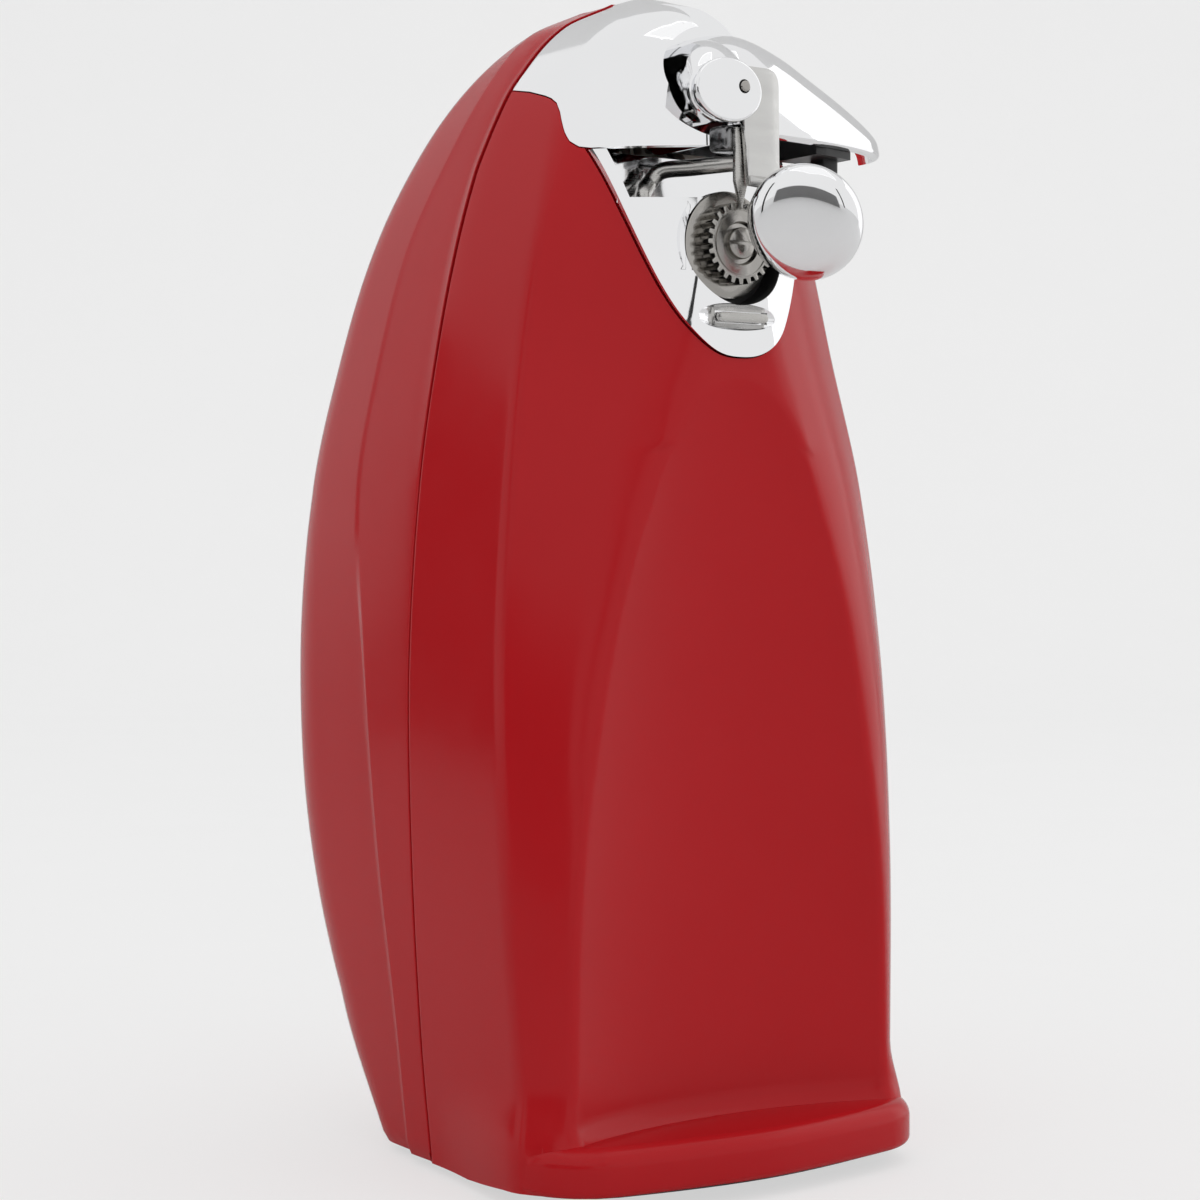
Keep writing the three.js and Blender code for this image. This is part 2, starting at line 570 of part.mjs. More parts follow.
function rearCover() {
  const crest = prismYZ(
    [[RIM_CROWN_Y + FIT / 2, CROWN_Z - 12], [RIM_CROWN_Y + 30, CROWN_Z - 12], [RIM_CROWN_Y + 22, CROWN_Z - 1],
      [RIM_CROWN_Y + 8, CROWN_Z + CREST_RISE], [RIM_CROWN_Y + FIT / 2, CROWN_Z + CREST_RISE]],
    -CREST_HALF_WIDTH, CREST_HALF_WIDTH,
  );
  const shell = join(bodyShell, cut(crest, innerBody)).intersect(rearRegion);
  const window = block(
    -GUIDE_HALF_WIDTH - FIT, GUIDE_HALF_WIDTH + FIT, guideY - FIT, FAR, guideZ0 - FIT, guideZ1 + FIT,
  );
  const glandHole = barY(GLAND_RADIUS + FIT, GLAND_X, GLAND_Z, glandY - 20, FAR, 20);
  const glandSeat = barY(GLAND_FLANGE + FIT, GLAND_X, GLAND_Z, glandY + GLAND_STEM - FIT, FAR, 20);
  return cut(
    join(shell, baseBosses[2], baseBosses[3]),
    window, glandHole, glandSeat, baseBores[2], baseBores[3],
  );
}

piece('front_housing', frontHousing(), redPlastic());
piece('rear_cover', rearCover(), redPlastic());

// ---------------------------------------------------------------- base, feet and inlets
const feet = [[-31, -14], [31, -14], [-30, 24], [30, 24]];
const baseBody = join(
  bodySolid(SHELL_WALL + FIT, [2, 22]),
  lipSolid(SHELL_WALL + FIT, LIP_Z - 3, LEDGE_Z - SHELL_WALL),
);
const basePlate = cut(
  baseBody.intersect(block(-FAR, FAR, -FAR, FAR, BASE_Z, BASE_Z + BASE_SHEET)),
  ...baseScrews.map(([x, y]) => barZ(BASE_SCREW_RADIUS + FIT, x, y, 0, 10)),
  ...feet.map(([x, y]) => barZ(FOOT_STEM + FIT, x, y, 0, 10)),
);
piece('base_plate', basePlate, blackPlastic());

feet.forEach(([x, y], i) => {
  const foot = join(
    barZ(FOOT_RADIUS, x, y, 0, BASE_Z - 0.1),
    barZ(FOOT_STEM, x, y, 0, BASE_Z + BASE_SHEET - 0.2),
  );
  piece(`foot_${i + 1}`, foot, rubber());
});

baseScrews.forEach(([x, y], i) => {
  const screw = join(
    barZ(3, x, y, BASE_Z - 1.6, BASE_Z - 0.1, 12),
    barZ(BASE_SCREW_RADIUS, x, y, BASE_Z - 1, BASE_BOSS_TOP - 6, 8),
  );
  piece(`base_screw_${i + 1}`, screw, steel());
});

// Ring gland in the rear shell where the supply cord would enter.
function cordGland() {
  const bore = 2.8;
  return turnedY(
    [
      [bore, glandY - 6], [GLAND_RADIUS, glandY - 6], [GLAND_RADIUS, glandY + GLAND_STEM],
      [GLAND_FLANGE, glandY + GLAND_STEM], [GLAND_FLANGE, glandY + GLAND_STEM + 2],
      [bore, glandY + GLAND_STEM + 2], [bore, glandY - 6],
    ],
    GLAND_X, GLAND_Z, 20,
  );
}
piece('cord_gland', cordGland(), blackPlastic());

// Slotted guide that leads a knife edge onto the stone.
const slotZ = motorZ + STONE_RADIUS - 2;
const knifeGuide = cut(
  bodySolid(-PLATE_PROUD, [60, 90, 118, 141, 160, 185, 214]).intersect(
    block(-GUIDE_HALF_WIDTH, GUIDE_HALF_WIDTH, guideY, FAR, guideZ0, guideZ1),
  ),
  block(-GUIDE_HALF_WIDTH + 3, GUIDE_HALF_WIDTH - 3, 0, FAR, slotZ - KNIFE_SLOT / 2, slotZ + KNIFE_SLOT / 2),
);
piece('knife_guide', knifeGuide, blackPlastic());

// ---------------------------------------------------------------- chrome cap
function chromeCap() {
  const inner = bodySolid(CAP_WALL, INNER_LEVELS);
  const shell = cut(outerBody, inner).intersect(capRegion);
  const solidCap = outerBody.intersect(capRegion);
  const zone = prismXZ(leverZone(0), -FAR, LEVER_BACK_Y + FIT, 12);
  const wall = solidCap.intersect(
    prismXZ(leverZone(-CAP_WALL), LEVER_BACK_Y + FIT, LEVER_BACK_Y + FIT + CAP_WALL, 12));
  const socket = cut(prismXZ(leverZone(-SOCKET_WALL), -FAR, LEVER_BACK_Y + 1, 12), zone).intersect(solidCap);
  const bore = barY(POST_RADIUS + FIT, PIVOT_X, PIVOT_Z, LEVER_BACK_Y - 5, LEVER_BACK_Y + 8, 20);
  return cut(join(shell, wall, socket), zone, bossRoom(), bore);
}
piece('chrome_cap', chromeCap(), chrome());

// ---------------------------------------------------------------- face plate
const bladeY = WHEEL_FACE_Y - FIT;
const facePlateBosses = [[-8.5, 188.5], [8.5, 188.5]];

function facePlate() {
  const levels = [168, 182, 196, 210, 222, 231];
  const skin = cut(bodySolid(-PLATE_PROUD, levels), bodySolid(PLATE_WALL, [154, ...levels, 240]));
  const topZ = CAP_FRONT_Z - FIT;
  const shield = prismXZ(shieldShape(0, topZ), -FAR, HOLLOW_BACK_Y + HOLLOW_WALL)
    .intersect(block(-FAR, FAR, -FAR, 0, 0, topZ));
  const openTop = hollow(-HOLLOW_WALL, HOLLOW_BACK_Y);
  const tray = cut(
    shield.intersect(bodySolid(0, levels))
      .intersect(block(-FAR, HOLLOW_RIGHT_X, -FAR, 0, SHELF_Z - HOLLOW_WALL, topZ)),
    openTop,
  );
  const rightEnd = block(HOLLOW_RIGHT_X, FAR, -FAR, 0, SHELF_Z, CROWN_Z);
  const front = cut(skin.intersect(shield), join(openTop, rightEnd));
  const well = barY(WELL_RADIUS + 1.3, HEAD_X, WHEEL_Z, WELL_FLOOR_Y - 4.6, WELL_FLOOR_Y + 1.8, 36)
    .intersect(block(-FAR, FAR, -FAR, 0, 0, SHELF_Z));
  const bosses = facePlateBosses.map(([x, z]) => barY(PLATE_BOSS_RADIUS, x, z, -60, GEAR_PLATE_Y - FIT, 16)
    .intersect(bodySolid(0.4, levels)));
  const scoop = solid(
    new THREE.SphereGeometry(1, 18, 9).scale(12, 2.6, 3).translate(REST_X - 2, -35.6, REST_Z));
  return cut(
    join(front, tray, well, ...bosses),
    barY(WELL_RADIUS, HEAD_X, WHEEL_Z, -FAR, WELL_FLOOR_Y, 24),
    barY(SHAFT_RADIUS + 3 * FIT, HEAD_X, WHEEL_Z, -FAR, 0, 20),
    scoop,
    block(
      restX0 - FIT, restX1 + FIT, -FAR, REST_BACK_Y + FIT,
      REST_Z - REST_HALF - FIT, REST_Z + REST_HALF + FIT,
    ),
    barZ(ROD_RADIUS + FIT, rodFoot.x, rodFoot.y, SHELF_Z - 5, SHELF_Z + 1, 16),
    ...facePlateBosses.map(([x, z]) => barY(PLATE_SCREW_RADIUS + FIT, x, z, -22, 0, 14)),
  );
}
const restX0 = REST_X - REST_LENGTH / 2;
const restX1 = REST_X + REST_LENGTH / 2;
const rodFoot = new THREE.Vector3(-15.5, -20.5, SHELF_Z);
piece('face_plate', facePlate(), chrome());

// Round-ended steel bar set into the scoop below the wheel.
const restBar = join(
  block(
    restX0 + REST_HALF, restX1 - REST_HALF, REST_BACK_Y - 1.7, REST_BACK_Y,
    REST_Z - REST_HALF, REST_Z + REST_HALF,
  ),
  barY(REST_HALF, restX0 + REST_HALF, REST_Z, REST_BACK_Y - 1.7, REST_BACK_Y, 16),
  barY(REST_HALF, restX1 - REST_HALF, REST_Z, REST_BACK_Y - 1.7, REST_BACK_Y, 16),
);
piece('can_rest_bar', restBar, steel());

// Bent steel rod over the wheel that keeps a can's rim level.
function canGuideRod() {
  const tip = new THREE.Vector3(HEAD_X - 0.7, bladeY + 2.3, SHELF_Z + 7.8);
  const bend = new THREE.Vector3(rodFoot.x + 3.5, rodFoot.y + 1.2, SHELF_Z + 7.8);
  const foot = rodFoot.clone().setZ(SHELF_Z - 1);
  const path = new THREE.CurvePath();
  const bendIn = bend.clone().lerp(foot, 0.3);
  const bendOut = bend.clone().lerp(tip, 0.12);
  const rise = foot.clone().lerp(bend, 0.35).setX(foot.x).setY(foot.y);
  path.add(new THREE.CatmullRomCurve3([foot, rise, bendIn, bendOut, bend.clone().lerp(tip, 0.5), tip]));
  const section = new THREE.Shape().absarc(0, 0, ROD_RADIUS, 0, Math.PI * 2);
  const geometry = new THREE.ExtrudeGeometry(section, { steps: 12, extrudePath: path, curveSegments: 5 });
  const ball = new THREE.SphereGeometry(ROD_RADIUS, 10, 6).translate(tip.x, tip.y, tip.z);
  return join(solid(geometry), solid(ball));
}
piece('can_guide_rod', canGuideRod(), steel());

// ---------------------------------------------------------------- lever and magnet arm
// Back outline of the wing, shrunk by an inset; the open one runs out below.
function wingShape(inset, floorZ) {
  const top = [
    [PIVOT_X, PIVOT_Z + HUB_RADIUS], [PIVOT_X + 4.4, PIVOT_Z + 11.4], [7, 250], [13, 249.6], [22, 246.6],
    [31, 242.2], [40, 237.6], [47.5, 233.2], [51.8, 229.8], [LEVER_TIP_X, 226.8],
  ].map(([x, z]) => new THREE.Vector2(x - inset, z - inset));
  const shape = new THREE.Shape();
  shape.moveTo(PIVOT_X, floorZ);
  shape.lineTo(top[0].x, top[0].y);
  shape.splineThru(top.slice(1));
  if (inset === 0) shape.lineTo(LEVER_TIP_X - 2, 225.4);
  else shape.lineTo(LEVER_TIP_X - inset, floorZ);
  if (inset === 0) shape.lineTo(40, 224.4);
  return shape;
}

// Hooded wing: its outline shrinks towards the hub as it comes forward.
function wingSolid(inset, floorZ) {
  const outline = wingShape(inset, floorZ).getPoints(2);
  const focus = new THREE.Vector2(0, 226);
  const reach = LEVER_BACK_Y - LEVER_FRONT_Y - inset;
  const start = inset === 0 ? LEVER_BACK_Y : LEVER_BACK_Y + 2;
  return loft([0, 0.2, 0.4, 0.56, 0.7, 0.82, 0.91, 0.98].map((share) => {
    const scale = (1 - share ** 2.3) ** (1 / 2.1);
    const y = share === 0 ? start : LEVER_BACK_Y - reach * share;
    return outline.map((p) => {
      const z = focus.y + (p.y - focus.y) * scale;
      return new THREE.Vector3(focus.x + (p.x - focus.x) * scale, y, inset === 0 ? z : Math.min(z, p.y));
    }).reverse();
  }));
}

const pinX = BOSS_X + 3.8;
const pinZ = BOSS_Z + 1;
const boltHead = BOSS_FACE_Y + BOSS_PLATE;

// Block under the hub that carries the cutter, grown by a gap.
const holderTop = PIVOT_Z - HUB_RADIUS - 1.4;
const holderBlock = (gap) => block(
  HEAD_X - 4.4 - gap, HEAD_X + 1.8 + gap, bladeY + 0.1 - 4 * gap, bladeY + 6.4 + gap,
  holderTop - 5.4, holderTop + gap,
);

function lever() {
  const wing = cut(wingSolid(0, 223.6), wingSolid(LEVER_WALL, 215));
  const hubFront = boltHead + ARM_SHEET + 2 * FIT;
  const hubRing = (y, share) => {
    const ring = [];
    for (let i = 0; i < 28; i += 1) {
      const angle = (-i * Math.PI) / 14;
      const [x, z] = [PIVOT_X, PIVOT_Z].map((v, k) => THREE.MathUtils.lerp(v, [BOSS_X, BOSS_Z][k], share));
      const rx = THREE.MathUtils.lerp(HUB_RADIUS, BOSS_HALF_WIDTH - 0.7, share);
      const rz = THREE.MathUtils.lerp(HUB_RADIUS, BOSS_HALF_HEIGHT - 0.4, share);
      ring.push(new THREE.Vector3(x + rx * Math.cos(angle), y, z - rz * Math.sin(angle)));
    }
    return ring;
  };
  const hub = loft([
    hubRing(LEVER_BACK_Y, 0), hubRing(HUB_STRAIGHT_Y, 0), hubRing((HUB_STRAIGHT_Y + hubFront) / 2 - 1, 0.4),
    hubRing(hubFront, 1),
  ]);
  const boss = prismXZ(bossShape(0), BOSS_FACE_Y, boltHead, 14);
  const bridge = prismXZ(bossShape(-2), boltHead - 0.2, hubFront + 0.5, 10)
    .intersect(block(-FAR, pinX - ARM_EYE_RADIUS - 2 * FIT, -FAR, 0, 0, 300));
  return cut(
    join(wing, hub, boss, bridge),
    barY(POST_RADIUS + FIT, PIVOT_X, PIVOT_Z, -32, 0),
    barY(PIN_RADIUS + FIT, pinX, pinZ, -60, hubFront + 5, 14),
    holderBlock(FIT),
  );
}
piece('lever', lever(), chrome());

const linerX0 = PIVOT_X + 13;
const linerX1 = 33;
const leverLiner = cut(
  join(
    wingSolid(LEVER_WALL + FIT, 220).intersect(block(linerX0, linerX1, -32, -17, 222, 240)),
    block(linerX0 + 1, linerX1 - 1, -29, -18.5, 216.5, 224),
  ),
  barY(HUB_RADIUS + FIT, PIVOT_X, PIVOT_Z, -60, 0, 32),
);
piece('lever_liner', leverLiner, blackPlastic());

const leverPost = join(
  barY(POST_RADIUS, PIVOT_X, PIVOT_Z, -31, SWITCH_CAM_Y + 3.6, 20),
  barY(POST_RADIUS + 1.4, PIVOT_X, PIVOT_Z, SWITCH_CAM_Y + 3.6, SWITCH_CAM_Y + 5, 20),
);
piece('lever_post', leverPost, steel());

// Finger on the post's inner end that presses the switch when the lever is pushed down.
function switchCam() {
  const shape = new THREE.Shape();
  shape.moveTo(PIVOT_X - 3, PIVOT_Z - 5);
  shape.lineTo(PLUNGER_X - 2, PLUNGER_TOP + CAM_GAP);
  shape.lineTo(PLUNGER_X + 1.6, PLUNGER_TOP + CAM_GAP);
  shape.lineTo(PLUNGER_X + 1.6, PLUNGER_TOP + CAM_GAP + 4);
  shape.lineTo(PIVOT_X + 6.5, PIVOT_Z);
  shape.closePath();
  const arm = prismXZ(shape, SWITCH_CAM_Y, SWITCH_CAM_Y + 3);
  const hub = barY(7, PIVOT_X, PIVOT_Z, SWITCH_CAM_Y, SWITCH_CAM_Y + 3, 28);
  return cut(join(arm, hub), barY(POST_RADIUS + 0.1, PIVOT_X, PIVOT_Z, -40, 10, 20));
}
piece('switch_cam', switchCam(), whitePlastic());

// Pointed cutter in front of the wheel.
piece('cutter_holder', holderBlock(0), iron());

function cutterBlade() {
  const shape = new THREE.Shape();
  const tipX = HEAD_X - 0.9;
  const tipZ = WHEEL_Z + WHEEL_TOOTH_RADIUS - 1.8;
  shape.moveTo(tipX - 1.7, holderTop - 0.6);
  shape.lineTo(tipX - 1.7, tipZ + 6);
  shape.lineTo(tipX, tipZ);
  shape.lineTo(tipX + 1.6, tipZ + 6);
  shape.lineTo(tipX + 1.6, holderTop - 0.6);
  shape.closePath();
  return prismXZ(shape, bladeY - BLADE_SHEET, bladeY);
}
piece('cutter_blade', cutterBlade(), steel());

const armY = boltHead + FIT;
const magnetPin = barY(PIN_RADIUS, pinX, pinZ, BOSS_FACE_Y - 0.6, armY + ARM_SHEET + 4.2, 16);
piece('magnet_pin', magnetPin, steel());

// Sheet-metal arm that hangs from the pin behind the boss plate.
function magnetArm() {
  const eye = barY(ARM_EYE_RADIUS, pinX, pinZ, armY, armY + ARM_SHEET, 20);
  const shape = new THREE.Shape();
  shape.moveTo(pinX + 1, pinZ + ARM_EYE_RADIUS);
  shape.lineTo(pinX + 7.5, pinZ + ARM_EYE_RADIUS);
  shape.quadraticCurveTo(pinX + 10.6, pinZ + ARM_EYE_RADIUS, pinX + 10.6, pinZ + 1);
  shape.lineTo(pinX + 10.8, pinZ - 17);
  shape.lineTo(pinX + 14.5, pinZ - 20.5);
  shape.lineTo(pinX + 2.6, pinZ - 20.5);
  shape.lineTo(pinX + 1.6, pinZ - 6);
  shape.lineTo(pinX + 0.5, pinZ - 3);
  shape.closePath();
  const strip = prismXZ(shape, armY, armY + ARM_SHEET);
  const foot = prismYZ(
    [
      [armY + ARM_SHEET, pinZ - 20.5], [armY + ARM_SHEET, pinZ - 18.8], [armY, pinZ - 18.4],
      [armY - 8.5, pinZ - 21.2], [armY - 8.5, pinZ - 22.6],
    ],
    pinX + 2.8, pinX + 14.4,
  );
  const body = join(eye, strip, foot);
  return cut(body, barY(PIN_RADIUS + FIT, pinX, pinZ, -60, 0, 16), magnetBody(FIT, MAGNET_DEPTH + FIT));
}

// Domed cup whose flat face looks along the magnet's normal.
function alongNormal(profile, sides) {
  const geometry = new THREE.LatheGeometry(profile.map(([r, h]) => new THREE.Vector2(r, h)), sides);
  const turn = new THREE.Quaternion();
  turn.setFromUnitVectors(new THREE.Vector3(0, 1, 0), MAGNET_NORMAL.clone().negate());
  return solid(geometry.applyQuaternion(turn).translate(MAGNET_FACE.x, MAGNET_FACE.y, MAGNET_FACE.z));
}
function magnetBody(grow, depth) {
  const r = MAGNET_RADIUS + grow;
  return alongNormal([[0, -grow], [r - 1, -grow], [r, 1], [r, depth * 0.35], [r - 1.4, depth * 0.65],
    [r - 4.4, depth * 0.9], [r - 7, depth], [0, depth]], 24);
}
const magnetPocket = (gap) => alongNormal(
  [[0, -1], [MAGNET_RADIUS - 1.6 + gap, -1], [MAGNET_RADIUS - 1.6 + gap, 2.6 + gap], [0, 2.6 + gap]], 24);
piece('magnet_arm', magnetArm(), chrome());
piece('magnet_housing', cut(magnetBody(0, MAGNET_DEPTH), magnetPocket(0)), chrome());
piece('lid_magnet', alongNormal(
  [[0, 0.2], [MAGNET_RADIUS - 1.9, 0.2], [MAGNET_RADIUS - 1.9, 2.3], [0, 2.3]], 24), chrome());

// ---------------------------------------------------------------- drive wheel and gear train
// Toothed disc outline; toothAt turns one tooth to the given direction.
function toothedShape(x, z, teeth, tip, root, toothAt, tipShare, rootShare) {
  const shape = new THREE.Shape();
  const pitch = (Math.PI * 2) / teeth;
  const points = [];
  for (let i = 0; i < teeth; i += 1) {
    const middle = toothAt + i * pitch;
    const corners = [[root, -rootShare], [tip, -tipShare], [tip, tipShare], [root, rootShare]];
    for (const [radius, share] of corners) {
      const angle = middle + share * pitch;
      points.push(new THREE.Vector2(x + radius * Math.cos(angle), z + radius * Math.sin(angle)));
    }
  }
  return shape.setFromPoints(points);
}
const pitchRadius = (teeth) => (GEAR_MODULE * teeth) / 2;
const tipRadius = (teeth) => pitchRadius(teeth) + 0.8 * GEAR_MODULE;
const rootRadius = (teeth) => pitchRadius(teeth) - 1.1 * GEAR_MODULE;
const gearShape = (x, z, teeth, toothAt) =>
  toothedShape(x, z, teeth, tipRadius(teeth), rootRadius(teeth), toothAt, 0.1, 0.2);

const toIdler = Math.atan2(idlerZ - WHEEL_Z, IDLER_X - HEAD_X);
const toMotor = Math.atan2(motorZ - idlerZ, MOTOR_X - IDLER_X);
const halfPitch = Math.PI / GEAR_TEETH;

function driveWheel() {
  const back = WHEEL_FACE_Y + WHEEL_DEPTH;
  const teeth = prismXZ(
    toothedShape(HEAD_X, WHEEL_Z, WHEEL_TEETH, WHEEL_TOOTH_RADIUS, WHEEL_TOOTH_RADIUS - 1.2, 0, 0.2, 0.3),
    WHEEL_FACE_Y, back - 2.5,
  );
  const shoulder = barY(WHEEL_RADIUS, HEAD_X, WHEEL_Z, back - 2.5, back, 24);
  return cut(
    join(teeth, shoulder),
    barY(4.6, HEAD_X, WHEEL_Z, -60, WHEEL_FACE_Y + 1, 24),
    barY(SHAFT_RADIUS + FIT, HEAD_X, WHEEL_Z, WHEEL_FACE_Y + 3, 0, 24),
    barY(1.8, HEAD_X, WHEEL_Z, -60, 0, 16),
  );
}
piece('drive_wheel', driveWheel(), steel());

const wheelBolt = cut(
  join(
    barY(3.4, HEAD_X, WHEEL_Z, WHEEL_FACE_Y - 0.8, WHEEL_FACE_Y + 0.9, 24),
    barY(1.5, HEAD_X, WHEEL_Z, WHEEL_FACE_Y, WHEEL_FACE_Y + 9, 16),
  ),
  block(HEAD_X - 4, HEAD_X + 4, WHEEL_FACE_Y - 2, WHEEL_FACE_Y - 0.1, WHEEL_Z - 0.4, WHEEL_Z + 0.4),
);
piece('wheel_bolt', wheelBolt, steel());

const shaftEnd = BEARING_PLATE_Y + PLATE_SHEET + 2;
const driveShaft = cut(
  barY(SHAFT_RADIUS, HEAD_X, WHEEL_Z, WHEEL_FACE_Y + 3.2, shaftEnd, 24),
  barY(1.8, HEAD_X, WHEEL_Z, -60, WHEEL_FACE_Y + 11, 16),
);
piece('drive_shaft', driveShaft, steel());

function flangedBush(y0, side) {
  const flange = side > 0
    ? barY(BUSH_RADIUS + 1.8, HEAD_X, WHEEL_Z, y0 + PLATE_SHEET + 0.1, y0 + PLATE_SHEET + 1.4, 28)
    : barY(BUSH_RADIUS + 1.8, HEAD_X, WHEEL_Z, y0 - 1.4, y0 - 0.1, 28);
  const sleeve = side > 0
    ? barY(BUSH_RADIUS, HEAD_X, WHEEL_Z, y0 - 1, y0 + PLATE_SHEET + 1, 20)
    : barY(BUSH_RADIUS, HEAD_X, WHEEL_Z, y0 - 1, y0 + PLATE_SHEET + 0.6, 28);
  return cut(join(flange, sleeve), barY(SHAFT_RADIUS + FIT, HEAD_X, WHEEL_Z, -60, 60, 24));
}
piece('front_bushing', flangedBush(GEAR_PLATE_Y, -1), brass());
piece('rear_bushing', flangedBush(BEARING_PLATE_Y, 1), brass());

const outputGear = cut(
  prismXZ(gearShape(HEAD_X, WHEEL_Z, GEAR_TEETH, toIdler + halfPitch), GEAR_Y, GEAR_Y + GEAR_DEPTH),
  barY(SHAFT_RADIUS + 0.1, HEAD_X, WHEEL_Z, -60, 60, 24),
);
piece('output_gear', outputGear, whitePlastic());

const idlerPinion = prismXZ(
  gearShape(IDLER_X, idlerZ, PINION_TEETH, toIdler + Math.PI), GEAR_Y - 0.8, IDLER_GEAR_Y + 0.5);
const idlerDisc = prismXZ(
  gearShape(IDLER_X, idlerZ, GEAR_TEETH, toMotor + halfPitch), IDLER_GEAR_Y, IDLER_GEAR_Y + GEAR_DEPTH);
piece('compound_gear', cut(
  join(idlerPinion, idlerDisc), barY(GEAR_PIN_RADIUS + FIT, IDLER_X, idlerZ, -60, 60, 20)), whitePlastic());
piece('gear_pin', barY(GEAR_PIN_RADIUS, IDLER_X, idlerZ, GEAR_PLATE_Y - 1, shaftEnd - 1, 20), steel());

// ---------------------------------------------------------------- plates and posts
const postPlaces = [[-21, motorZ], [21, motorZ]];
function outlinePlate(points, y) {
  return prismXZ(new THREE.Shape(points.map(([x, z]) => new THREE.Vector2(x, z))), y, y + PLATE_SHEET);
}
const gearPlateSide = [[34, 118], [34, 178], [31.5, 196], [30, 207.5]];
const gearPlate = cut(
  outlinePlate([...gearPlateSide, ...gearPlateSide.map(([x, z]) => [-x, z]).reverse()], GEAR_PLATE_Y),
  barY(BUSH_RADIUS + FIT, HEAD_X, WHEEL_Z, -60, 60, 20),
  barY(GEAR_PIN_RADIUS + 0.1, IDLER_X, idlerZ, -60, 60, 20),
  ...chassisScrews.map(([x, z]) => barY(CHASSIS_SCREW_RADIUS + FIT, x, z, -60, 60, 16)),
  ...facePlateBosses.map(([x, z]) => barY(PLATE_SCREW_RADIUS + FIT, x, z, -60, 60, 14)),
);
piece('gear_plate', gearPlate, steel());

const bearingPlate = cut(
  outlinePlate([[-27, 141], [27, 141], [27, 158], [13, 212], [-13, 212], [-27, 172]], BEARING_PLATE_Y),
  barY(BUSH_RADIUS + FIT, HEAD_X, WHEEL_Z, -60, 60, 20),
  barY(GEAR_PIN_RADIUS + 0.1, IDLER_X, idlerZ, -60, 60, 20),
  barY(5, MOTOR_X, motorZ, -60, 60, 24),
  ...postPlaces.map(([x, z]) => barY(POST_SCREW + FIT, x, z, -60, 60, 16)),
);
piece('bearing_plate', bearingPlate, steel());

postPlaces.forEach(([x, z], i) => {
  const post = cut(
    barY(3.5, x, z, GEAR_PLATE_Y + PLATE_SHEET + 0.1, BEARING_PLATE_Y - 0.1, 20),
    barY(POST_SCREW + FIT, x, z, BEARING_PLATE_Y - 12, 60, 16),
  );
  piece(`plate_post_${i + 1}`, post, steel());
});

chassisScrews.forEach(([x, z], i) => {
  const screw = join(
    barY(2.9, x, z, GEAR_PLATE_Y + PLATE_SHEET + 0.1, GEAR_PLATE_Y + PLATE_SHEET + 1.8, 12),
    barY(CHASSIS_SCREW_RADIUS, x, z, GEAR_PLATE_Y - 6, GEAR_PLATE_Y + PLATE_SHEET + 1, 8),
  );
  piece(`chassis_screw_${i + 1}`, screw, steel());
});
facePlateBosses.forEach(([x, z], i) => {
  const screw = join(
    barY(2.6, x, z, GEAR_PLATE_Y + PLATE_SHEET + 0.1, GEAR_PLATE_Y + PLATE_SHEET + 1.6, 12),
    barY(PLATE_SCREW_RADIUS, x, z, GEAR_PLATE_Y - 8, GEAR_PLATE_Y + PLATE_SHEET + 1, 8),
  );
  piece(`face_plate_screw_${i + 1}`, screw, steel());
});

// ---------------------------------------------------------------- motor
const coreBottom = motorZ - 44;
const barTop = coreBottom + 9;
function stator() {
  const outer = block(MOTOR_X - 26, MOTOR_X + 26, STATOR_Y, STATOR_Y + STATOR_DEPTH, coreBottom, motorZ + 22);
  return cut(
    outer,
    barY(ROTOR_RADIUS + 0.5, MOTOR_X, motorZ, 0, 80, 24),
    block(MOTOR_X - 16, MOTOR_X + 16, 0, 80, barTop, barTop + STATOR_WINDOW),
    ...postPlaces.map(([x, z]) => barY(POST_SCREW + FIT, x, z, 0, 80, 16)),
  );
}
piece('stator', stator(), iron());

function windingRing(gap, thickness, halfLength) {
  const y0 = STATOR_Y - gap;
  const y1 = STATOR_Y + STATOR_DEPTH + gap;
  const [z0, z1] = [coreBottom - gap, barTop + gap];
  const ring = block(
    MOTOR_X - halfLength, MOTOR_X + halfLength, y0 - thickness, y1 + thickness,
    z0 - thickness, z1 + thickness,
  );
  return cut(ring, block(-FAR, FAR, y0, y1, z0, z1));
}
piece('coil_bobbin', windingRing(FIT, BOBBIN_WALL, 15), whitePlastic());
piece('field_coil', windingRing(2 * FIT + BOBBIN_WALL, COIL_REACH, 13), copper());

const rotor = cut(
  barY(ROTOR_RADIUS, MOTOR_X, motorZ, STATOR_Y, STATOR_Y + STATOR_DEPTH, 24),
  barY(MOTOR_SHAFT_RADIUS + 0.1, MOTOR_X, motorZ, 0, 80, 20),
);
piece('rotor', rotor, iron());
const motorShaft = barY(MOTOR_SHAFT_RADIUS, MOTOR_X, motorZ, IDLER_GEAR_Y - 0.5, STONE_Y + STONE_DEPTH, 20);
piece('motor_shaft', motorShaft, steel());

const motorPinion = cut(
  prismXZ(
    gearShape(MOTOR_X, motorZ, PINION_TEETH, toMotor + Math.PI), IDLER_GEAR_Y, IDLER_GEAR_Y + GEAR_DEPTH),
  barY(MOTOR_SHAFT_RADIUS + 0.05, MOTOR_X, motorZ, 0, 80, 20),
);
piece('motor_pinion', motorPinion, brass());

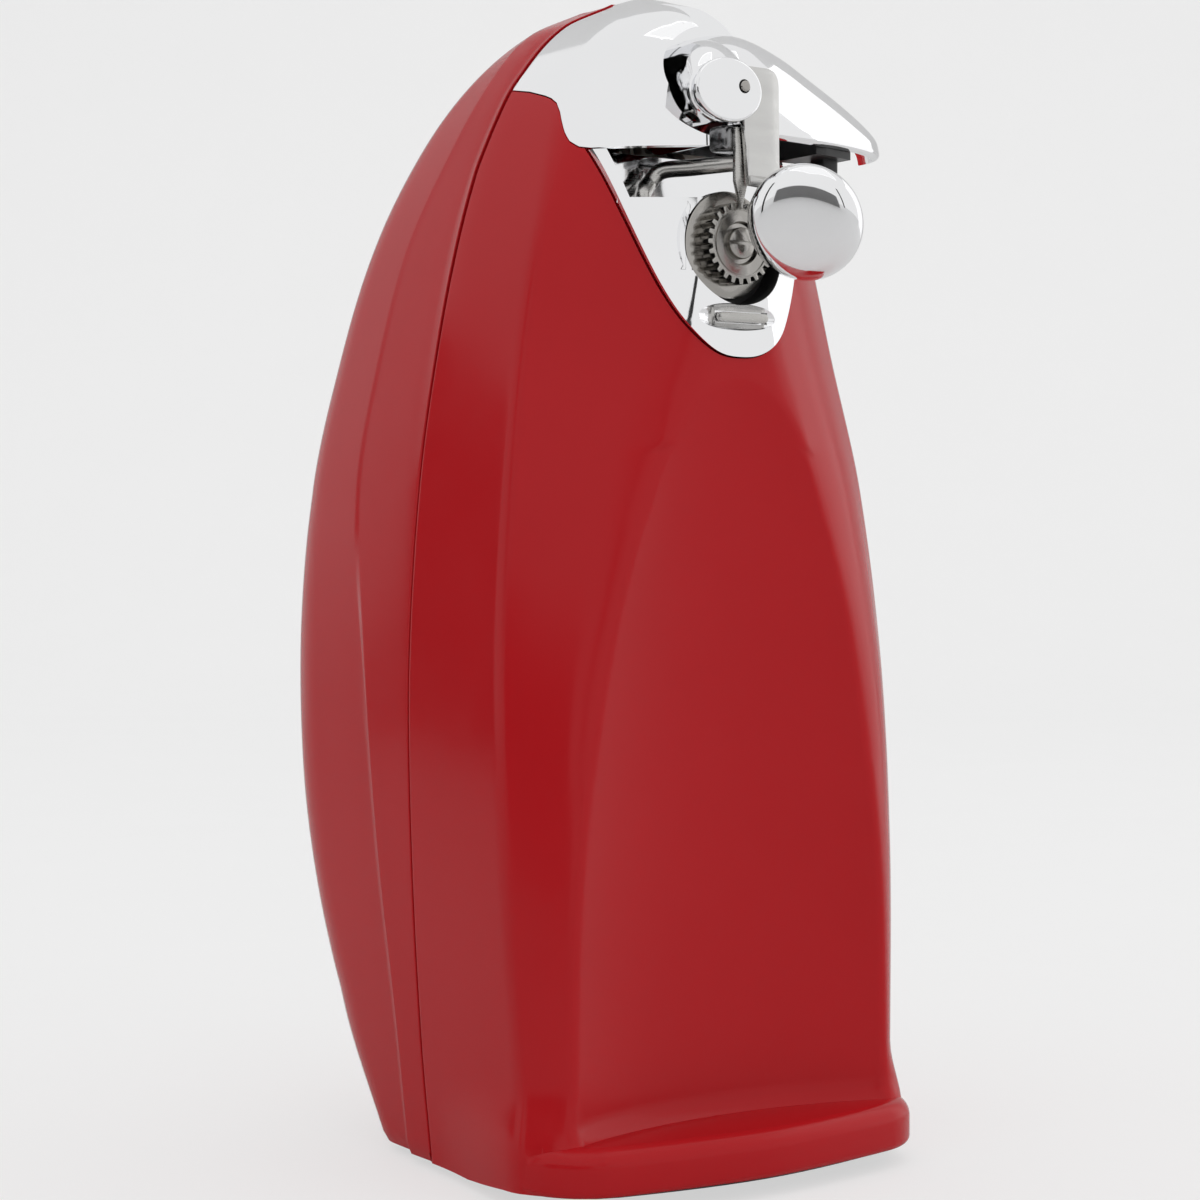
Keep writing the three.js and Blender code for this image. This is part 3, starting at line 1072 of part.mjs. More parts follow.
// Strap with a bearing seat, held by the two motor bolts.
function motorBracket(y, bossY0, bossY1) {
  const strap = block(MOTOR_X - 25, MOTOR_X + 25, y, y + PLATE_SHEET, motorZ - 6, motorZ + 6);
  const seat = barY(6, MOTOR_X, motorZ, y - 2, y + PLATE_SHEET + 1, 24);
  const bosses = postPlaces.map(([x, z]) => barY(3.5, x, z, bossY0, bossY1, 12));
  return cut(
    join(strap, seat, ...bosses),
    barY(MOTOR_SHAFT_RADIUS + FIT, MOTOR_X, motorZ, 0, 90, 20),
    ...postPlaces.map(([x, z]) => barY(POST_SCREW + FIT, x, z, 0, 90, 16)),
  );
}
const rearBracketY = STATOR_Y + STATOR_DEPTH + 6;
const frontBracket = motorBracket(FRONT_BRACKET_Y, BEARING_PLATE_Y + PLATE_SHEET + 0.1, STATOR_Y - 0.1);
piece('front_motor_bracket', frontBracket, steel());
const rearBracket = motorBracket(rearBracketY, STATOR_Y + STATOR_DEPTH + 0.1, rearBracketY + 1);
piece('rear_motor_bracket', rearBracket, steel());

postPlaces.forEach(([x, z], i) => {
  const bolt = join(
    barY(2.9, x, z, rearBracketY + PLATE_SHEET + 0.1, rearBracketY + PLATE_SHEET + 2, 12),
    barY(POST_SCREW, x, z, BEARING_PLATE_Y - 6, rearBracketY + PLATE_SHEET + 1, 8),
  );
  piece(`motor_bolt_${i + 1}`, bolt, steel());
});

// Cooling fan: a hub with flat blades.
function coolingFan() {
  const y0 = rearBracketY + PLATE_SHEET + 3.5;
  const hub = barY(6, MOTOR_X, motorZ, y0, y0 + 6, 24);
  const blades = [];
  for (let i = 0; i < 6; i += 1) {
    const blade = new THREE.BoxGeometry(16, 5.6, 1.4);
    blade.rotateX(THREE.MathUtils.degToRad(28)).translate(12, 0, 0);
    blades.push(solid(blade.rotateY((i * Math.PI) / 3).translate(MOTOR_X, y0 + 3, motorZ)));
  }
  return cut(join(hub, ...blades), barY(MOTOR_SHAFT_RADIUS + 0.1, MOTOR_X, motorZ, 0, 90, 20));
}
piece('cooling_fan', coolingFan(), whitePlastic());

const stoneEnd = STONE_Y + STONE_DEPTH;
const stoneProfile = [
  [0, STONE_Y], [STONE_RADIUS - 1, STONE_Y], [STONE_RADIUS, STONE_Y + 1], [STONE_RADIUS, stoneEnd - 1],
  [STONE_RADIUS - 1, stoneEnd], [0, stoneEnd],
];
const knifeStone = cut(
  turnedY(stoneProfile, MOTOR_X, motorZ, 24),
  barY(MOTOR_SHAFT_RADIUS + 0.1, MOTOR_X, motorZ, 0, 90, 20),
);
piece('knife_stone', knifeStone, stone());

// ---------------------------------------------------------------- switch
const switchY0 = GEAR_PLATE_Y - 4.8;
const switchY1 = GEAR_PLATE_Y - 0.1;
const switchTop = SHELF_Z - HOLLOW_WALL - 0.2;
const switchBody = cut(
  block(PLUNGER_X - 5.4, PLUNGER_X + 9, switchY0, switchY1, switchTop - 12, switchTop),
  block(PLUNGER_X - PLUNGER_HALF - FIT, PLUNGER_X + PLUNGER_HALF + FIT, switchY0 + 1.2, switchY1 - 1,
    PLUNGER_TOP - PLUNGER_LENGTH - 2, switchTop + 1),
);
piece('switch_body', switchBody, blackPlastic());
piece('switch_plunger', block(
  PLUNGER_X - PLUNGER_HALF, PLUNGER_X + PLUNGER_HALF, switchY0 + 1.2 + FIT, switchY1 - 1 - FIT,
  PLUNGER_TOP - PLUNGER_LENGTH, PLUNGER_TOP,
), whitePlastic());

// The origin is under the middle of the object's footprint.
const bounds = new THREE.Box3().setFromObject(opener);
opener.position.set(-(bounds.min.x + bounds.max.x) / 2, -(bounds.min.y + bounds.max.y) / 2, -bounds.min.z);

export default opener;
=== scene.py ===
"""Electric can opener: the finished surfaces of every piece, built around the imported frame."""

import json
import math

import bmesh
import bpy
import numpy as np
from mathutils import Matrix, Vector
from mathutils.geometry import convex_hull_2d


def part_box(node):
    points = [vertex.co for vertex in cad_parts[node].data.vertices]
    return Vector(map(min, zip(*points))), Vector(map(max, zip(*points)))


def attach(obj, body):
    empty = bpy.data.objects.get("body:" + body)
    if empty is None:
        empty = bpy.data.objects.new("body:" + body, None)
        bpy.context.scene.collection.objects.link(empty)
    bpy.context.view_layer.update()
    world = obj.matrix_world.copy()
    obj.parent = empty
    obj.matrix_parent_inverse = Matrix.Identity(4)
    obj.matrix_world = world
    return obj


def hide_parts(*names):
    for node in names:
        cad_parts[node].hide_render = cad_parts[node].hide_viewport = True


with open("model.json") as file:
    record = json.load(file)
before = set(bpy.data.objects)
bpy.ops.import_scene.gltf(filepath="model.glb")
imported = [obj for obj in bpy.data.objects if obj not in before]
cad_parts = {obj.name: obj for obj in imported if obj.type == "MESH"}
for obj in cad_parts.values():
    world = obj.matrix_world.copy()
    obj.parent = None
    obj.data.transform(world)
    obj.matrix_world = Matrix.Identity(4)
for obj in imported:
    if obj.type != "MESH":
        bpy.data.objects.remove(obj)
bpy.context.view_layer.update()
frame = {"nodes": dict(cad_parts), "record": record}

# ---------- driving sizes, in millimetres
MM = 0.001
FIT = 0.3                  # gap between pieces that seat on each other
SEAM_Y = 15.0              # plane where the two body shells meet
CROWN_Z = 259.0
SHELL_WALL = 2.4
CAP_WALL = 1.8
BOTTOM_Z = 2.0
FAR = 90.0                 # how far a cutting tool reaches past the body
# The pieces are drawn in the shells' own axes; the frame's origin is under the footprint.
OFFSET = Vector((0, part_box("front_housing")[1].y / MM - (SEAM_Y - FIT / 2), 0))

# Height, then half widths and depths of the body: seam, corner, cornerY, bulge, flank, noseY,
# back, backY, creaseY.
FIELDS = ("z", "seam", "corner", "cornerY", "bulge", "flank", "noseY", "back", "backY", "creaseY")
STATIONS = np.array([
    (3, 47.2, 48.5, -26, 0.3, 42.3, -33.6, 44.5, 44.6, 25),
    (30, 49.9, 50.2, -25, 0.4, 42.3, -33.6, 47, 64.2, 25),
    (70, 52.3, 52.2, -23, 0.6, 40.8, -33.6, 48.5, 79, 30),
    (110, 53, 52, -20.6, 0.9, 35.3, -33.6, 48.8, 82.5, 35),
    (150, 50.4, 48, -18.2, 1, 22.5, -34, 46, 80.6, 42),
    (180, 45.8, 42.4, -14.8, 1, 10, -34.2, 41, 75.6, 40),
    (205, 40.2, 36.8, -13, 1, 7, -34.2, 36, 68.4, 36),
    (225, 33.8, 30, -11.2, 1, 8, -34.5, 30, 59.8, 28),
    (242, 26, 22.4, -9.5, 1, 9, -32, 22.5, 46.8, 22),
    (253, 17.5, 14.5, -7, 0.6, 7, -22, 14, 32, 18),
    (259, 5, 4.5, -1, 0, 3, -4, 4, 19, 16.5),
])
FLANK_PULL = 1.9
NOSE_RADIUS = 18.0
CORNER_RADIUS = 6.0
CORNER_RADIUS_TOP = 30.0   # the front corner softens towards the crown
CORNER_SOFT = (206.0, 240.0)
BACK_RADIUS = 20.0
CREASE_STEP = 1.8
CREASE_STEP_TOP = 140.0
CROWN_START = 250.0        # above this height corner and crease no longer steer the columns
EDGE_ROUND = 0.5           # rolled edge of a shell along its seam

RECESS_HALF_WIDTH = 42.3
RECESS_BASE_Z = 30.0
RECESS_APEX_Z = 173.0
RECESS_PLANE_Y = -33.5
RECESS_DEPTH = 8.3
RECESS_DOME = 50.0
RECESS_APEX_SINK = 0.7     # the nose stands this far ahead of the recess's plane at the apex
RECESS_EDGE = 1.3          # rounding of the recess's edge
RECESS_FAN = 9.9           # from where the recess is this narrow, the columns stop following its edge
LEDGE_Z = 14.0
LEDGE_FILLET = 3.0
LIP_Y = -46.0
LIP_Z = 4.0
LIP_FLARE = 3.0
LIP_EDGE = 4.0
LIP_FOOT_EDGE = 1.6
LIP_FADE = (-26.0, 12.0)   # over these depths the flare runs out into the side

RIM_LINE = ((221.0, 15.0), (238.5, 13.0), (262.0, 5.0))
CAP_LINE_Y = (-60.0, -17.0, -14.8, -12.5, -10.6, -9.0, -7.2, -5.0, -2.5, 0.0, 6.0, 13.0, 30.0)
CAP_LINE_Z = (222.0, 222.0, 222.4, 223.8, 225.9, 228.2, 230.9, 233.2, 234.6, 235.5, 237.2, 238.5, 244.0)
SEAM_BEAD = ((1, 0.12), (2, 0.3), (3, 0.26), (4, 0.05))   # height at the columns next to the seam
GLAND_FLANGE = 2.0         # width and thickness of the gland's flange
CREST_HALF_WIDTH = 4.6
CREST_DROP = 7.0           # from the crest's top to where its sides are upright
CREST_RISE = 1.1
# Depth and rise above the crown along the crest at the top of the rear shell.
CREST_PROFILE = ((5.3, 0.0), (5.3, 0.9), (5.9, CREST_RISE), (9, CREST_RISE + 0.1), (14, 0.7), (20, -0.4),
                 (27, -3.2))

PLATE_TIP_Z = 177.5
PLATE_SPREAD = 6.2
PLATE_FLARE = 0.39
PLATE_PROUD = 0.7
PLATE_TOP_Z = 221.7
SHELF_Z = 211.0
HOLLOW_BACK_Y = -16.0
HOLLOW_RIGHT_X = 22.0
HOLLOW_WALL = 1.6

HEAD_X = 0.0
WHEEL_Z = 201.8
WHEEL_FACE_Y = -34.9
WHEEL_DEPTH = 7.0
WHEEL_RADIUS = 11.6
WHEEL_TOOTH_RADIUS = 8.8
WHEEL_TEETH = 24
WELL_RADIUS = 13.2
WELL_FLOOR_Y = -27.7
SHAFT_RADIUS = 3.0
REST_X = 0.8
REST_Z = 186.0
REST_LENGTH = 13.0
REST_FRONT_Y = -35.1
REST_BACK_Y = -33.4
SCOOP_RADII = (12.0, 2.6, 3.0)
ROD_RADIUS = 1.8
ROD_FOOT = (-15.5, -20.5)

PIVOT_X = -3.0
PIVOT_Z = 237.3
LEVER_BACK_Y = -13.5
LEVER_FRONT_Y = -35.5
LEVER_TIP_X = 53.0
LEVER_WALL = 1.8
LEVER_FOOT_Z = 223.6       # lower edge of the wing beside the hub
LEVER_ANGLES = (-4, 0, 8, 15, 22, 30)
HUB_RADIUS = 9.0
HUB_STRAIGHT_Y = -26.0
SOCKET_RADIUS = 10.8
SOCKET_SHIFT = 0.8
SOCKET_WALL = 1.2
BOSS_X = -6.6
BOSS_Z = 233.4
BOSS_HALF_WIDTH = 8.7
BOSS_HALF_HEIGHT = 6.8
BOSS_FACE_Y = -39.6
BOSS_PLATE = 1.4
ARM_SHEET = 1.2
ARM_EYE_RADIUS = 4.8
PIN_X = BOSS_X + 3.8
PIN_Z = BOSS_Z + 1.0
PIN_RADIUS = 1.2
POST_RADIUS = 4.0
BLADE_Y = WHEEL_FACE_Y - FIT
BLADE_SHEET = 1.1
HOLDER_LOW = (-4.4, -1.1, -5.4)      # cutter holder, from the wheel's axis, the blade and the hub's foot
HOLDER_HIGH = (1.8, 6.7, 0.0)
LINER_LOW = (24.0, -31.0, 223.4)
LINER_HIGH = (36.0, -17.0, 240.0)
NECK_LOW = (29.5, -26.5, 219.6)
NECK_HIGH = (34.5, -21.5, 224.6)
MAGNET_RADIUS = 12.5
MAGNET_DEPTH = 9.0
MAGNET_FACE = Vector((2.8, -51.4, 204.0))
MAGNET_NORMAL = Vector((-0.78, -0.53, -0.33)).normalized()


def own_box(node):
    """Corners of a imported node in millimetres, in the shells' own axes."""
    return [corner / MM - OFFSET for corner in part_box(node)]


def eased(share):
    """Smooth step: a share from 0 to 1 that starts and ends gently."""
    return share**2 * (3 - 2 * share)


# ---------- mesh helpers
def put_in_scene(name, data):
    thing = bpy.data.objects.new(name, data)
    bpy.context.scene.collection.objects.link(thing)
    return thing


def bare_object(name, vertices, faces):
    """A mesh object from points in millimetres, placed in the frame."""
    mesh = bpy.data.meshes.new(name)
    placed = (np.asarray(vertices, float) + np.array(OFFSET)) * MM
    mesh.from_pydata([tuple(p) for p in placed], [], faces)
    mesh.update()
    return put_in_scene(name, mesh)


def tidy_mesh(piece, doubles=1e-6):
    """Merges doubled points and turns every face outwards on a closed mesh."""
    work = bmesh.new()
    work.from_mesh(piece.data)
    bmesh.ops.remove_doubles(work, verts=work.verts, dist=doubles)
    bmesh.ops.dissolve_degenerate(work, edges=work.edges, dist=doubles / 4)
    bmesh.ops.recalc_face_normals(work, faces=work.faces)
    if work.calc_volume(signed=True) < 0:
        bmesh.ops.reverse_faces(work, faces=work.faces)
    work.to_mesh(piece.data)
    work.free()
    return piece


def select_none():
    bpy.ops.object.select_all(action="DESELECT")


def select_only(piece):
    select_none()
    piece.select_set(True)
    bpy.context.view_layer.objects.active = piece


def modify(piece, kind, **settings):
    """Adds a modifier and applies it."""
    select_only(piece)
    modifier = piece.modifiers.new(kind.lower(), kind)
    for key, value in settings.items():
        setattr(modifier, key, value)
    bpy.ops.object.modifier_apply(modifier=modifier.name)
    return piece


def carve(piece, tool, operation="DIFFERENCE"):
    """Cuts or joins a piece with a closed tool, which is used up."""
    tidy_mesh(tool)
    modify(piece, "BOOLEAN", object=tool, operation=operation, solver="MANIFOLD")
    bpy.data.objects.remove(tool)
    return piece


def smooth(piece, angle=35):
    select_only(piece)
    bpy.ops.object.shade_smooth_by_angle(angle=math.radians(angle))
    return piece


def settle(piece, body, material, node):
    """Gives a finished piece its material and its body, and hides the node that it stands for."""
    piece.data.materials.clear()
    piece.data.materials.append(material)
    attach(piece, body)
    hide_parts(node)
    return piece


def grid_faces(rows, columns, closed=False):
    faces = []
    span = columns if closed else columns - 1
    for i in range(rows - 1):
        for j in range(span):
            k = (j + 1) % columns
            faces.append((i * columns + j, i * columns + k, (i + 1) * columns + k, (i + 1) * columns + j))
    return faces


def prism(outline, low, high, axis="y", name="tool"):
    """Closed prism over an outline: (x, z) pushed along y, or (y, z) pushed along x."""
    count = len(outline)
    if axis == "y":
        points = [(a, low, b) for a, b in outline] + [(a, high, b) for a, b in outline]
    else:
        points = [(low, a, b) for a, b in outline] + [(high, a, b) for a, b in outline]
    faces = [tuple(range(count)), tuple(range(2 * count - 1, count - 1, -1))]
    for i in range(count):
        j = (i + 1) % count
        faces.append((i, i + count, j + count, j))
    return tidy_mesh(bare_object(name, points, faces))


def block(low, high):
    outline = [(low[0], low[2]), (high[0], low[2]), (high[0], high[2]), (low[0], high[2])]
    return prism(outline, low[1], high[1])


def loft(name, rings):
    """Closed skin over rings with the same number of points."""
    rings = np.asarray(rings, float)
    levels, count = rings.shape[:2]
    faces = grid_faces(levels, count, closed=True)
    faces += [tuple(range(count)), tuple(range((levels - 1) * count, levels * count))]
    return tidy_mesh(bare_object(name, rings.reshape(-1, 3), faces))


def turned(name, profile, centre, axis=(0, 1, 0), sides=72):
    """Turned closed piece: profile points are (radius, distance along the axis)."""
    turn = Vector((0, 0, 1)).rotation_difference(Vector(axis).normalized()).to_matrix()
    rings = []
    for radius, along in profile:
        ring = []
        for k in range(sides):
            angle = 2 * math.pi * k / sides
            local = Vector((radius * math.cos(angle), radius * math.sin(angle), along))
            ring.append(tuple(turn @ local + Vector(centre)))
        rings.append(ring)
    return loft(name, rings)


def arc(x, z, radius, steps, start, end):
    """Arc from one angle to another, in degrees."""
    angles = np.radians(np.linspace(start, end, steps))
    return [(x + radius * math.cos(a), z + radius * math.sin(a)) for a in angles]


def full_turn(steps):
    return np.linspace(0, 2 * math.pi, steps, endpoint=False)


def ellipse(x, z, half_width, half_height, steps=64):
    return [(x + half_width * math.cos(a), z + half_height * math.sin(a)) for a in full_turn(steps)]


def bore(piece, radius, low, high, x, z, sides=72):
    """Drills a round hole along y."""
    return carve(piece, turned("tool", [(radius, low), (radius, high)], (x, 0, z), sides=sides))


# ---------- body outline
def station(field, z):
    """Value of a station field at a height, as a smooth curve through the stations."""
    heights, values = STATIONS[:, 0], STATIONS[:, FIELDS.index(field)]
    last = len(heights) - 1
    i = int(np.clip(np.searchsorted(heights, z, side="right") - 1, 0, last - 1))

    def slope(k):
        low, high = max(k - 1, 0), min(k + 1, last)
        return (values[high] - values[low]) / (heights[high] - heights[low])

    span = heights[i + 1] - heights[i]
    u = float(np.clip((z - heights[i]) / span, 0, 1))
    return ((2 * u**3 - 3 * u**2 + 1) * values[i] + (u**3 - 2 * u**2 + u) * span * slope(i)
            + (3 * u**2 - 2 * u**3) * values[i + 1] + (u**3 - u**2) * span * slope(i + 1))


def rounded(points, radii, steps=14):
    """Polyline with each inner corner turned into a curve of its radius."""
    points = [np.asarray(p, float) for p in points]
    line = [points[0]]
    for i in range(1, len(points) - 1):
        back, ahead = points[i - 1] - points[i], points[i + 1] - points[i]
        len_back, len_ahead = np.linalg.norm(back), np.linalg.norm(ahead)
        if min(len_back, len_ahead) < 1e-6:
            line.append(points[i])
            line += [points[i]] * steps
            continue
        cosine = np.clip(back @ ahead / (len_back * len_ahead), -1, 1)
        half = math.acos(cosine) / 2
        reach = min(radii[i - 1] / max(math.tan(half), 1e-6), 0.48 * len_back, 0.48 * len_ahead)
        start, end = points[i] + back / len_back * reach, points[i] + ahead / len_ahead * reach
        for t in np.linspace(0, 1, steps + 1):
            line.append((1 - t) ** 2 * start + 2 * t * (1 - t) * points[i] + t**2 * end)
    line.append(points[-1])
    return np.array(line)


def recess_share(z):
    share = math.sqrt(1 - ((RECESS_DOME - RECESS_DEPTH) / RECESS_DOME) ** 2)
    apex_share = math.sqrt(1 - ((RECESS_DOME - RECESS_DEPTH - RECESS_APEX_SINK) / RECESS_DOME) ** 2)
    rise = (RECESS_APEX_Z - RECESS_BASE_Z) / apex_share
    scale = math.sqrt(max(1 - (max(z - RECESS_BASE_Z, 0) / rise) ** 2, 0))
    return RECESS_HALF_WIDTH / share * scale, RECESS_DOME * scale


def recess_y(x, z):
    """Depth of the scooped recess at a place on the front."""
    reach, dome = recess_share(z)
    inside = np.clip(1 - (np.asarray(x) / reach) ** 2, 0, 1)
    return RECESS_PLANE_Y - (RECESS_DOME - RECESS_DEPTH) + dome * np.sqrt(inside)


def arc_lengths(line):
    return np.concatenate([[0], np.cumsum(np.linalg.norm(np.diff(line, axis=0), axis=1))])


def at_arc(line, lengths, wanted):
    return np.stack([np.interp(wanted, lengths, line[:, k]) for k in range(2)], axis=1)


def body_line(z, inset=0.0):
    """Half outline of the body at a height, from the front's middle to the back's middle."""
    at = {field: station(field, z) for field in FIELDS[1:]}
    step = CREASE_STEP * float(np.clip((CREASE_STEP_TOP - z) / 50, 0, 1))
    share = (at["creaseY"] - SEAM_Y) / (at["backY"] - SEAM_Y)
    crease_x = at["seam"] + (at["back"] - at["seam"]) * share + 0.8
    run = np.array([at["corner"] - at["flank"], at["cornerY"] - at["noseY"]])
    outward = np.array([run[1], -run[0]]) / np.linalg.norm(run)
    middle = np.array([(at["flank"] + at["corner"]) / 2 - inset, (at["noseY"] + at["cornerY"]) / 2 + inset])
    middle += outward * at["bulge"] * FLANK_PULL
    nose_radius = float(np.clip((z - 155) * 1.2, 0.2, NOSE_RADIUS))
    swell = float(np.clip((z - CORNER_SOFT[0]) / (CORNER_SOFT[1] - CORNER_SOFT[0]), 0, 1))
    corner_radius = CORNER_RADIUS + (CORNER_RADIUS_TOP - CORNER_RADIUS) * eased(swell)
    corners = [
        (0, at["noseY"] + inset), (at["flank"] - inset, at["noseY"] + inset), middle,
        (at["corner"] - inset, at["cornerY"] + inset * 0.5), (at["seam"] - inset, SEAM_Y),
        (crease_x - inset, at["creaseY"]), (crease_x - step - inset, at["creaseY"] + 2.2),
        (at["back"] - inset, at["backY"] - inset), (0, at["backY"] - inset + 1.5),
    ]
    corners = [(max(x, 0.0 if i in (0, 8) else 0.4), y) for i, (x, y) in enumerate(corners)]
    return rounded(corners, [nose_radius, 200, corner_radius, 60, 0.8, 0.8, BACK_RADIUS])


def rim_y(z):
    return float(np.interp(z, [p[0] for p in RIM_LINE], [p[1] for p in RIM_LINE]))


def with_recess(line, z, inset=0.0):
    """Puts the recess into the front of an outline; returns it with the arc length of its edge."""
    line = np.concatenate([np.linspace(line[0], line[1], 60)[:-1], line[1:]])
    front = np.argmax(line[:, 1] > -5)
    x, y = line[:front, 0], line[:front, 1]
    reach = recess_share(z)[0]
    scooped = np.where(x < reach, recess_y(np.minimum(x, reach), z) + inset, -1e3)
    inside = scooped > y
    if not inside.any():
        return line, None
    last = int(np.nonzero(inside)[0].max())
    low, high = last, last + 1
    gap_low, gap_high = scooped[low] - y[low], scooped[high] - y[high]
    t = gap_low / (gap_low - gap_high)
    edge = line[low] * (1 - t) + line[high] * t
    inner_x = np.linspace(0, edge[0], 60)
    inner = np.stack([inner_x, recess_y(inner_x, z) + inset], axis=1)
    outer = line[high:]
    before = inner[inner[:, 0] < edge[0] - RECESS_EDGE]
    if len(before) < 2:
        before = inner[:1]
    far = np.linalg.norm(outer - edge, axis=1) > RECESS_EDGE
    after = outer[np.argmax(far):]
    start, end = before[-1], after[0]
    bend = [(1 - s) ** 2 * start + 2 * s * (1 - s) * edge + s**2 * end for s in np.linspace(0, 1, 9)[1:-1]]
    whole = np.concatenate([before, bend, after])
    return whole, arc_lengths(whole)[len(before) + 3]


def clustered(count):
    """Shares from 0 to 1 that lie closer together at both ends."""
    return 0.5 * (1 - np.cos(np.pi * np.linspace(0, 1, count)))


EDGE_STEPS = np.array([0.9, 0.5, 0.25, 0.1, 0.0])


def place_on(line, lengths, depth):
    """Arc length at which a stretch of an outline reaches a depth."""
    return float(np.interp(depth, line[:, 1], lengths))


def body_columns(z, inset=0.0):
    """Front and rear columns of a level: feature lines keep their column at every height."""
    line = body_line(z, inset)
    line, edge = with_recess(line, z, inset)
    lengths = arc_lengths(line)
    seam_index = int(np.argmax(line[:, 1] > rim_y(z)))
    a, b = line[seam_index - 1], line[seam_index]
    t = (rim_y(z) - a[1]) / (b[1] - a[1])
    seam = lengths[seam_index - 1] + t * (lengths[seam_index] - lengths[seam_index - 1])
    if z < CROWN_START:
        past = int(np.argmax(lengths > (edge or 0))) + 4
        corner = place_on(line[past:seam_index], lengths[past:seam_index], station("cornerY", z))
    else:
        corner = seam * 0.62
    edge = max(edge or 0, min(RECESS_FAN, corner * 0.42))
    front = np.concatenate([
        edge * np.linspace(0, 1, 30) ** 0.8,
        edge + (corner - edge) * clustered(26)[1:],
        corner + (seam - 1.3 - corner) * np.linspace(0, 1, 20)[1:],
        seam - EDGE_STEPS - FIT / 2,
    ])
    total = lengths[-1]
    if z < CROWN_START:
        crease = place_on(line[seam_index:], lengths[seam_index:], station("creaseY", z))
    else:
        crease = seam + 0.2 * (total - seam)
    crease = max(crease, seam + 3)
    rear = np.concatenate([
        seam + EDGE_STEPS[::-1] + FIT / 2,
        seam + 1.4 + (crease - 0.8 - seam - 1.4) * np.linspace(0, 1, 9)[1:],
        crease + np.array([-0.4, 0.0, 0.5, 1.0, 1.5, 2.0, 2.4, 2.9]),
        crease + 3.4 + (total - crease - 3.4) * np.linspace(0, 1, 46)[1:],
    ])
    rear = np.maximum.accumulate(np.minimum(rear, total))
    return at_arc(line, lengths, front), at_arc(line, lengths, rear)


# Heights of the grids' rows, closest around the ledge, the recess's apex and the crown.
LEVELS = np.concatenate([
    np.linspace(BOTTOM_Z, LEDGE_Z + LEDGE_FILLET, 8)[:-1],
    np.arange(LEDGE_Z + LEDGE_FILLET, 150, 2.2),
    np.arange(150, 168, 1.2),
    np.arange(168, 178, 0.5),
    np.arange(178, 240, 1.7),
    np.linspace(240, 252, 12)[:-1],
    252 + (CROWN_Z - 252) * np.sin(np.linspace(0, np.pi / 2, 14)),
])


def surface(inset=0.0):
    """Front and rear grids of the body's outside, as arrays [level, column, xyz]."""
    front, rear = [], []
    for z in LEVELS:
        ahead, behind = body_columns(float(z), inset)
        height = z * (1 - inset / CROWN_Z)
        front.append(np.column_stack([ahead, np.full(len(ahead), height)]))
        rear.append(np.column_stack([behind, np.full(len(behind), height)]))
    return np.array(front), np.array(rear)


def crown_rows(grid, target, rise):
    """Rows that close the top towards a point, with a slight dome."""
    top = grid[-1]
    rows = []
    for share in (0.25, 0.5, 0.72, 0.88, 1.0):
        row = top + (np.array([target[0], target[1], 0]) - top) * share
        row[:, 2] = top[0, 2] + rise * (1 - (1 - share) ** 2)
        rows.append(row)
    return np.concatenate([grid, np.array(rows)])


def grid_normals(grid):
    across = np.gradient(grid, axis=1)
    up = np.gradient(grid, axis=0)
    normal = np.cross(across, up)
    size = np.linalg.norm(normal, axis=2, keepdims=True)
    return normal / np.maximum(size, 1e-9)


def roll_edge(grid, axis, end, radius):
    """Turns the last rows or columns of a grid inwards, like a moulded edge."""
    normals = grid_normals(grid)
    line = np.moveaxis(grid, axis, 0)
    if end > 0:
        line = line[::-1]
    gaps = np.linalg.norm(np.diff(line[:12], axis=0), axis=2)
    away = np.concatenate([np.zeros((1, line.shape[1])), np.cumsum(gaps, axis=0)])
    sink = np.zeros(line.shape[:2])
    inside = np.clip(radius - away, 0, radius)
    sink[:12] = radius - np.sqrt(np.maximum(radius**2 - inside**2, 0))
    if end > 0:
        sink = sink[::-1]
    sink = np.moveaxis(sink[..., None], 0, axis) if axis else sink[..., None]
    return grid - normals * sink


def roll_sides(grid, radius=EDGE_ROUND):
    return roll_edge(roll_edge(grid, 1, 1, radius), 1, -1, radius)


def mirrored(grid, middle_first=True):
    """Both halves of a grid whose first or last column lies in the middle."""
    other = grid[:, ::-1].copy()
    other[:, :, 0] *= -1
    halves = (other[:, :-1], grid) if middle_first else (grid[:, :-1], other)
    return np.concatenate(halves, axis=1)


def shell_piece(name, outside, inside):
    """Closed shell between two matching grids."""
    rows, columns = outside.shape[:2]
    count = rows * columns
    faces = grid_faces(rows, columns)
    faces += [tuple(count + i for i in reversed(face)) for face in faces]
    border = [(0, j) for j in range(columns)]
    border += [(i, columns - 1) for i in range(1, rows)]
    border += [(rows - 1, j) for j in range(columns - 2, -1, -1)]
    border += [(i, 0) for i in range(rows - 2, 0, -1)]
    for (i, j), (k, l) in zip(border, border[1:] + border[:1]):
        a, b = i * columns + j, k * columns + l
        faces.append((b, a, a + count, b + count))
    points = np.concatenate([outside.reshape(-1, 3), inside.reshape(-1, 3)])
    return tidy_mesh(bare_object(name, points, faces))


# ---------- shared head shapes
def face_half_width(z):
    return PLATE_SPREAD * max(z - PLATE_TIP_Z, 0.0) ** PLATE_FLARE


def shield(grow, top):
    """Outline of the shield-shaped face plate, grown by a gap."""
    width = face_half_width(top)
    outline = []
    for x in np.linspace(-width, width, 81):
        z = PLATE_TIP_Z + (abs(x) / PLATE_SPREAD) ** (1 / PLATE_FLARE) - grow
        outline.append((x * (1 + grow / width), z))
    return outline + [(outline[-1][0], top + 4), (outline[0][0], top + 4)]


def hollow_outline(grow, top):
    """Hollow above the shelf: the shield's left side, open to the right."""
    width = face_half_width(top)
    zs = np.linspace(SHELF_Z + min(0, -grow), top, 14)
    left = [(-face_half_width(z + grow) * (1 + grow / width), z) for z in zs]
    return left + [(FAR, top), (FAR, zs[0])]


